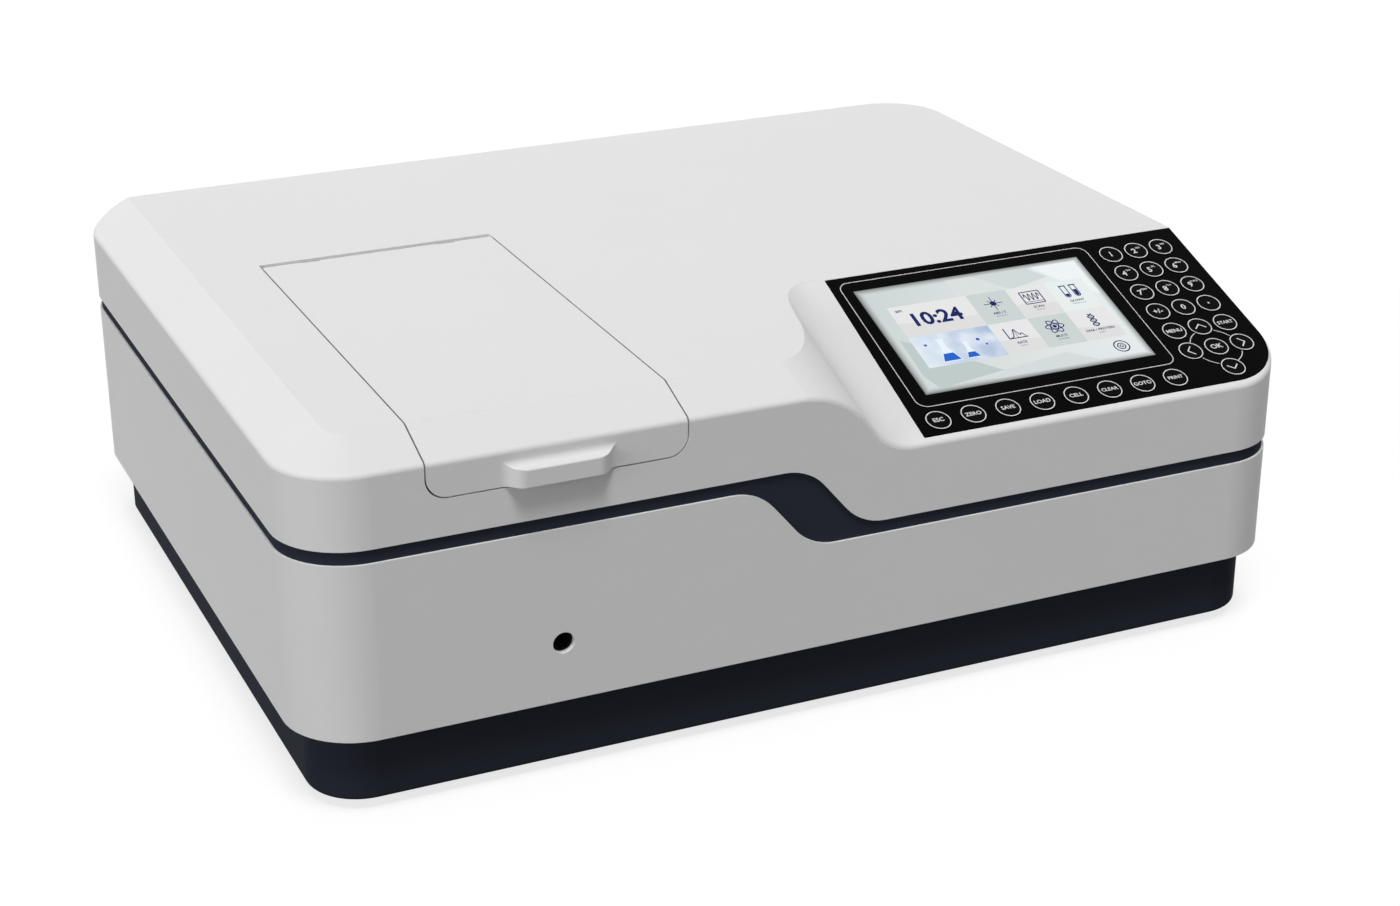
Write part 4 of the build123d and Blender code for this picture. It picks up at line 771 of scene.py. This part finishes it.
def display_tiles():
    """Tiles in three tones, and a darker foot with a slanted edge on the light ones."""
    light = Drawing()
    for place in LIGHT_TILES:
        light.polygon(tile_corners(*place))
    display_patch("screen_tiles_light", light, TILE_LIGHT, TILE_LIFT)
    green = Drawing()
    for place in GREEN_TILES:
        green.polygon(tile_corners(*place))
    display_patch("screen_tiles_green", green, TILE_GREEN, TILE_LIFT)
    pale = Drawing()
    pale.polygon(tile_corners(*PALE_TILE))
    display_patch("screen_tile_pale", pale, TILE_PALE, TILE_LIFT)
    shade = Drawing()
    for place in LIGHT_TILES:
        left, low, right, high = tile(*place)
        right_edge = low + SHADE_RIGHT * (high - low)
        left_edge = low + SHADE_LEFT * (high - low)
        shade.polygon([(left, low), (right, low), (right, right_edge), (left, left_edge)])
    display_patch("screen_tiles_shade", shade, TILE_SHADE, SHADE_LIFT)


def spark_icon(ink, x, y):
    for index in range(8):
        angle = index * pi / 4
        reach = 6.2 if index % 2 == 0 else 4.0
        ray = [(x + far * cos(angle), y + far * sin(angle)) for far in (1.6, reach)]
        ink.stroke(ray, 0.55)
    ink.disc(x, y, 2.0)


def wave_icon(ink, x, y):
    ink.stroke(rounded_rectangle(x - 6.4, y - 5.4, x + 6.4, y + 5.4, 0.4), 0.75, True)
    wave = [(x - 5 + step * 0.25, y + 0.6 + 2.9 * sin(step * 0.55)) for step in range(41)]
    ink.stroke(wave, 0.65)
    ink.stroke([(x - 5.8, y - 3.7), (x + 5.8, y - 3.7)], 0.45)


def tubes_icon(ink, x, y):
    """Two test tubes filled to different levels."""
    for side, level in ((-1, 1.5), (1, 4.5)):
        centre = x + side * 3.3
        tube = [(centre - 1.7, y + 5.2), (centre - 1.7, y - 3.4)]
        tube += arc(centre, y - 3.4, 1.7, 180, 360, 12)
        tube.append((centre + 1.7, y + 5.2))
        ink.stroke(tube, 0.65)
        ink.stroke([(centre - 2.4, y + 5.4), (centre + 2.4, y + 5.4)], 0.9)
        liquid = [(centre - 1.2, y - 3.4 + level), (centre - 1.2, y - 3.4)]
        liquid += arc(centre, y - 3.4, 1.2, 180, 360, 10)
        liquid.append((centre + 1.2, y - 3.4 + level))
        ink.polygon(liquid)


def bell(across, height, middle, width):
    return height * BELL_BASE ** (-((across - middle) / width) ** 2)


def peak_icon(ink, x, y):
    """Axes with a curve of two peaks."""
    ink.stroke([(x - 6, y + 5), (x - 6, y - 4.4), (x + 6.4, y - 4.4)], 0.75)
    curve = []
    for step in range(33):
        across = -5.2 + step * 0.33
        rise = bell(across, 7.2, -0.2, 1.7) + bell(across, 3.2, 3.4, 1.2)
        curve.append((x + across, y - 4.0 + rise))
    ink.stroke(curve, 0.65)
    ink.stroke([(x - 0.2, y - 4.2), (x - 0.2, y + 3.0)], 0.35)


def atom_icon(ink, x, y):
    for turn in (0, 60, 120):
        ink.stroke(arc(x, y, 6.0, 0, 360, 40, 2.3, radians(turn))[:-1], 0.7, True)
    ink.disc(x, y, 1.3)


def helix_icon(ink, x, y):
    for phase in (0, pi):
        strand = [(x + 2.0 * sin(step * 0.32 + phase), y - 5.6 + step * 0.35) for step in range(33)]
        ink.stroke(strand, 0.75)
    for step in range(2, 32, 3):
        half = 2.0 * sin(step * 0.32)
        level = y - 5.6 + step * 0.35
        ink.stroke([(x - half, level), (x + half, level)], 0.4)


def wheel_icon(ink, x, y):
    ink.stroke(circle(x, y, 4.7, 48), 0.8, True)
    ink.stroke(circle(x, y, 2.7, 6), 0.7, True)
    ink.stroke(circle(x, y, 1.0, 24), 0.6, True)


def display_icons():
    """Plain line icons with their labels, a settings wheel and the clock."""
    ink = Drawing()
    icons = (spark_icon, wave_icon, tubes_icon, peak_icon, atom_icon, helix_icon)
    for icon, (column, row, _, _) in zip(icons, TILE_LABELS):
        icon(ink, *tile_middle(column, row))
    wheel_icon(ink, *WHEEL_PLACE)
    for column, row, label, note in TILE_LABELS:
        x, y = tile_middle(column, row)
        ink.text(label, x, y - TILE_LABEL_DROP, TILE_LABEL_HEIGHT)
        ink.text(note, x, y - TILE_NOTE_DROP, TILE_NOTE_HEIGHT, 0.0)
    display_patch("screen_icons", ink, NAVY, INK_LIFT)
    clock = Drawing()
    left, low, right, high = tile(0, 1)
    x = (left + right) / 2 + CLOCK_SHIFT[0]
    y = (low + high) / 2 + CLOCK_SHIFT[1]
    clock.text("10:24", x, y, CLOCK_HEIGHT, CLOCK_WEIGHT)
    clock.text("am", left + MORNING_PLACE[0], high + MORNING_PLACE[1], MORNING_HEIGHT)
    display_patch("screen_clock", clock, NAVY, INK_LIFT)


def display_picture():
    """Plain drawing of two flasks and drops in place of a photograph."""
    left, low, right, high = tile(0, 0)
    ground = Drawing()
    ground.polygon(tile_corners(0, 0))
    mesh = ground.mesh("screen_picture", on_console(0, 0, TILE_LIFT))
    graph = lit("screen_picture", (0.5, 0.62, 0.8))
    across = graph.spread(graph.axes()[0], 0, 1, left * MM, right * MM)
    tint = graph.mix(across, PICTURE_LEFT, PICTURE_RIGHT)
    blur = graph.spread(graph.noise(BLUR_SIZE, 1.0), 0, BLUR_SHARE, 0.4, 0.7)
    tint = graph.mix(blur, tint, PICTURE_BLUR)
    graph.link(tint, graph.shader.inputs["Emission Color"])
    piece("screen_picture", mesh, graph.material, "instrument")
    flask = Drawing()
    liquid = Drawing()
    for x, scale in FLASKS:
        x += left
        base = low + FLASK_BASE
        flask.polygon([(x + across * scale, base + up * scale) for across, up in FLASK_OUTLINE])
        rim = base + FLASK_RIM * scale
        reach = FLASK_RIM_HALF * scale
        flask.stroke([(x - reach, rim), (x + reach, rim)], FLASK_RIM_WIDTH * scale)
        level = LIQUID_LEVEL * scale
        foot = LIQUID_FOOT * scale
        edge = LIQUID_EDGE * scale - level * LIQUID_TAPER
        bottom = base + LIQUID_BOTTOM
        top = base + level
        liquid.polygon([(x - foot, bottom), (x + foot, bottom), (x + edge, top), (x - edge, top)])
    for x, y, radius in DROPS:
        liquid.disc(left + x, low + y, radius)
    display_patch("screen_flasks", flask, FLASK_COLOUR, FLASK_LIFT)
    display_patch("screen_liquids", liquid, LIQUID_COLOUR, INK_LIFT)


def rocker_marks():
    """The two marks on the mains switch."""
    low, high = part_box("rocker_switch")
    centre = (low + high) / 2
    pivot = Vector((centre.x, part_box("power_inlet")[1].y - ROCKER_SETBACK * MM, centre.z))
    slope = tan(ROCKER_TILT)
    half = ROCKER_RADIUS / 2
    out = ROCKER_RISE + half * slope + PRINT_LIFT
    for side, kind in ((-1, "bar"), (1, "ring")):
        drawing = Drawing()
        if kind == "bar":
            drawing.stroke([(0, -BAR_HALF), (0, BAR_HALF)], BAR_WIDTH)
        else:
            drawing.stroke(circle(0, 0, RING_RADIUS, DISC_SIDES), RING_LINE, True)
        local = Matrix.Translation(Vector((side * half, out, 0)) * MM)
        local = local @ Matrix.Rotation(side * ROCKER_TILT, 4, "Z") @ Matrix.Rotation(radians(-90), 4, "X")
        turned = Matrix.Rotation(ROCKER_TILT, 4, "Z") @ local
        mesh = drawing.mesh(f"rocker_{kind}", Matrix.Translation(pivot) @ turned @ Matrix.Scale(MM, 4))
        piece(f"rocker_{kind}", mesh, print_ink, "rocker")


def white_to_camera(tree, strength):
    """Strength of the white that camera, mirror and glass rays see, as a socket."""
    path = tree.nodes.new("ShaderNodeLightPath")
    seen = path.outputs["Is Camera Ray"]
    for name in ("Is Glossy Ray", "Is Transmission Ray"):
        either = tree.nodes.new("ShaderNodeMath")
        either.operation = "MAXIMUM"
        tree.links.new(seen, either.inputs[0])
        tree.links.new(path.outputs[name], either.inputs[1])
        seen = either.outputs[0]
    scale = tree.nodes.new("ShaderNodeMath")
    scale.operation = "MULTIPLY"
    tree.links.new(seen, scale.inputs[0])
    scale.inputs[1].default_value = strength
    return scale.outputs[0]


def floor():
    """Plain white floor that keeps a soft shadow and bounces little light."""
    mesh = bpy.data.meshes.new("floor")
    half = FLOOR_HALF
    corners = [(-half, -half, 0), (half, -half, 0), (half, half, 0), (-half, half, 0)]
    mesh.from_pydata(corners, [], [(0, 1, 2, 3)])
    ground = bpy.data.objects.new("floor", mesh)
    scene.collection.objects.link(ground)
    material = bpy.data.materials.new("floor")
    material.use_nodes = True
    tree = material.node_tree
    tree.nodes.clear()
    matt = tree.nodes.new("ShaderNodeBsdfDiffuse")
    matt.inputs["Color"].default_value = (FLOOR_ALBEDO, FLOOR_ALBEDO, FLOOR_ALBEDO, 1)
    glow = tree.nodes.new("ShaderNodeEmission")
    tree.links.new(white_to_camera(tree, FLOOR_GLOW), glow.inputs["Strength"])
    both = tree.nodes.new("ShaderNodeAddShader")
    tree.links.new(matt.outputs[0], both.inputs[0])
    tree.links.new(glow.outputs[0], both.inputs[1])
    output = tree.nodes.new("ShaderNodeOutputMaterial")
    tree.links.new(both.outputs[0], output.inputs["Surface"])
    mesh.materials.append(material)


def sky():
    """Even light, seen as white by the camera and in reflections."""
    world = bpy.data.worlds.new("sky")
    scene.world = world
    world.use_nodes = True
    tree = world.node_tree
    tree.nodes.clear()
    background = tree.nodes.new("ShaderNodeBackground")
    background.inputs["Color"].default_value = (1, 1, 1, 1)
    extra = tree.nodes.new("ShaderNodeMath")
    extra.operation = "ADD"
    extra.inputs[1].default_value = SKY_STRENGTH
    tree.links.new(white_to_camera(tree, 1 - SKY_STRENGTH), extra.inputs[0])
    tree.links.new(extra.outputs[0], background.inputs["Strength"])
    output = tree.nodes.new("ShaderNodeOutputWorld")
    tree.links.new(background.outputs[0], output.inputs["Surface"])


def lamp(name, source, strength, spread, mirrored):
    """A soft sun that shines from a direction, and shows in glossy surfaces or not."""
    light = bpy.data.lights.new(name, "SUN")
    light.energy = strength
    light.angle = spread
    holder = bpy.data.objects.new(name, light)
    holder.rotation_euler = source.to_track_quat("Z", "Y").to_euler()
    holder.visible_glossy = mirrored
    scene.collection.objects.link(holder)


def camera():
    """Camera at the photograph's place."""
    lens = bpy.data.cameras.new("camera")
    lens.lens = CAMERA_LENS
    lens.sensor_width = CAMERA_SENSOR
    lens.sensor_fit = "HORIZONTAL"
    lens.clip_end = CAMERA_REACH
    holder = bpy.data.objects.new("camera", lens)
    holder.location = CAMERA_PLACE
    backward = Vector(
        (
            sin(CAMERA_AZIMUTH) * cos(CAMERA_ELEVATION),
            -cos(CAMERA_AZIMUTH) * cos(CAMERA_ELEVATION),
            sin(CAMERA_ELEVATION),
        )
    )
    holder.rotation_euler = backward.to_track_quat("Z", "Y").to_euler()
    scene.collection.objects.link(holder)
    scene.camera = holder


camera()
dress_frame()
for name, members in frame["record"]["behaviour"]["bodies"].items():
    if members[0].startswith(("row_key", "pad_key")):
        key_print(members[0], name)
panel_print()
display_facets()
display_tiles()
display_icons()
display_picture()
rocker_marks()
floor()
sky()
for name, settings in LAMPS.items():
    lamp(name, *settings)
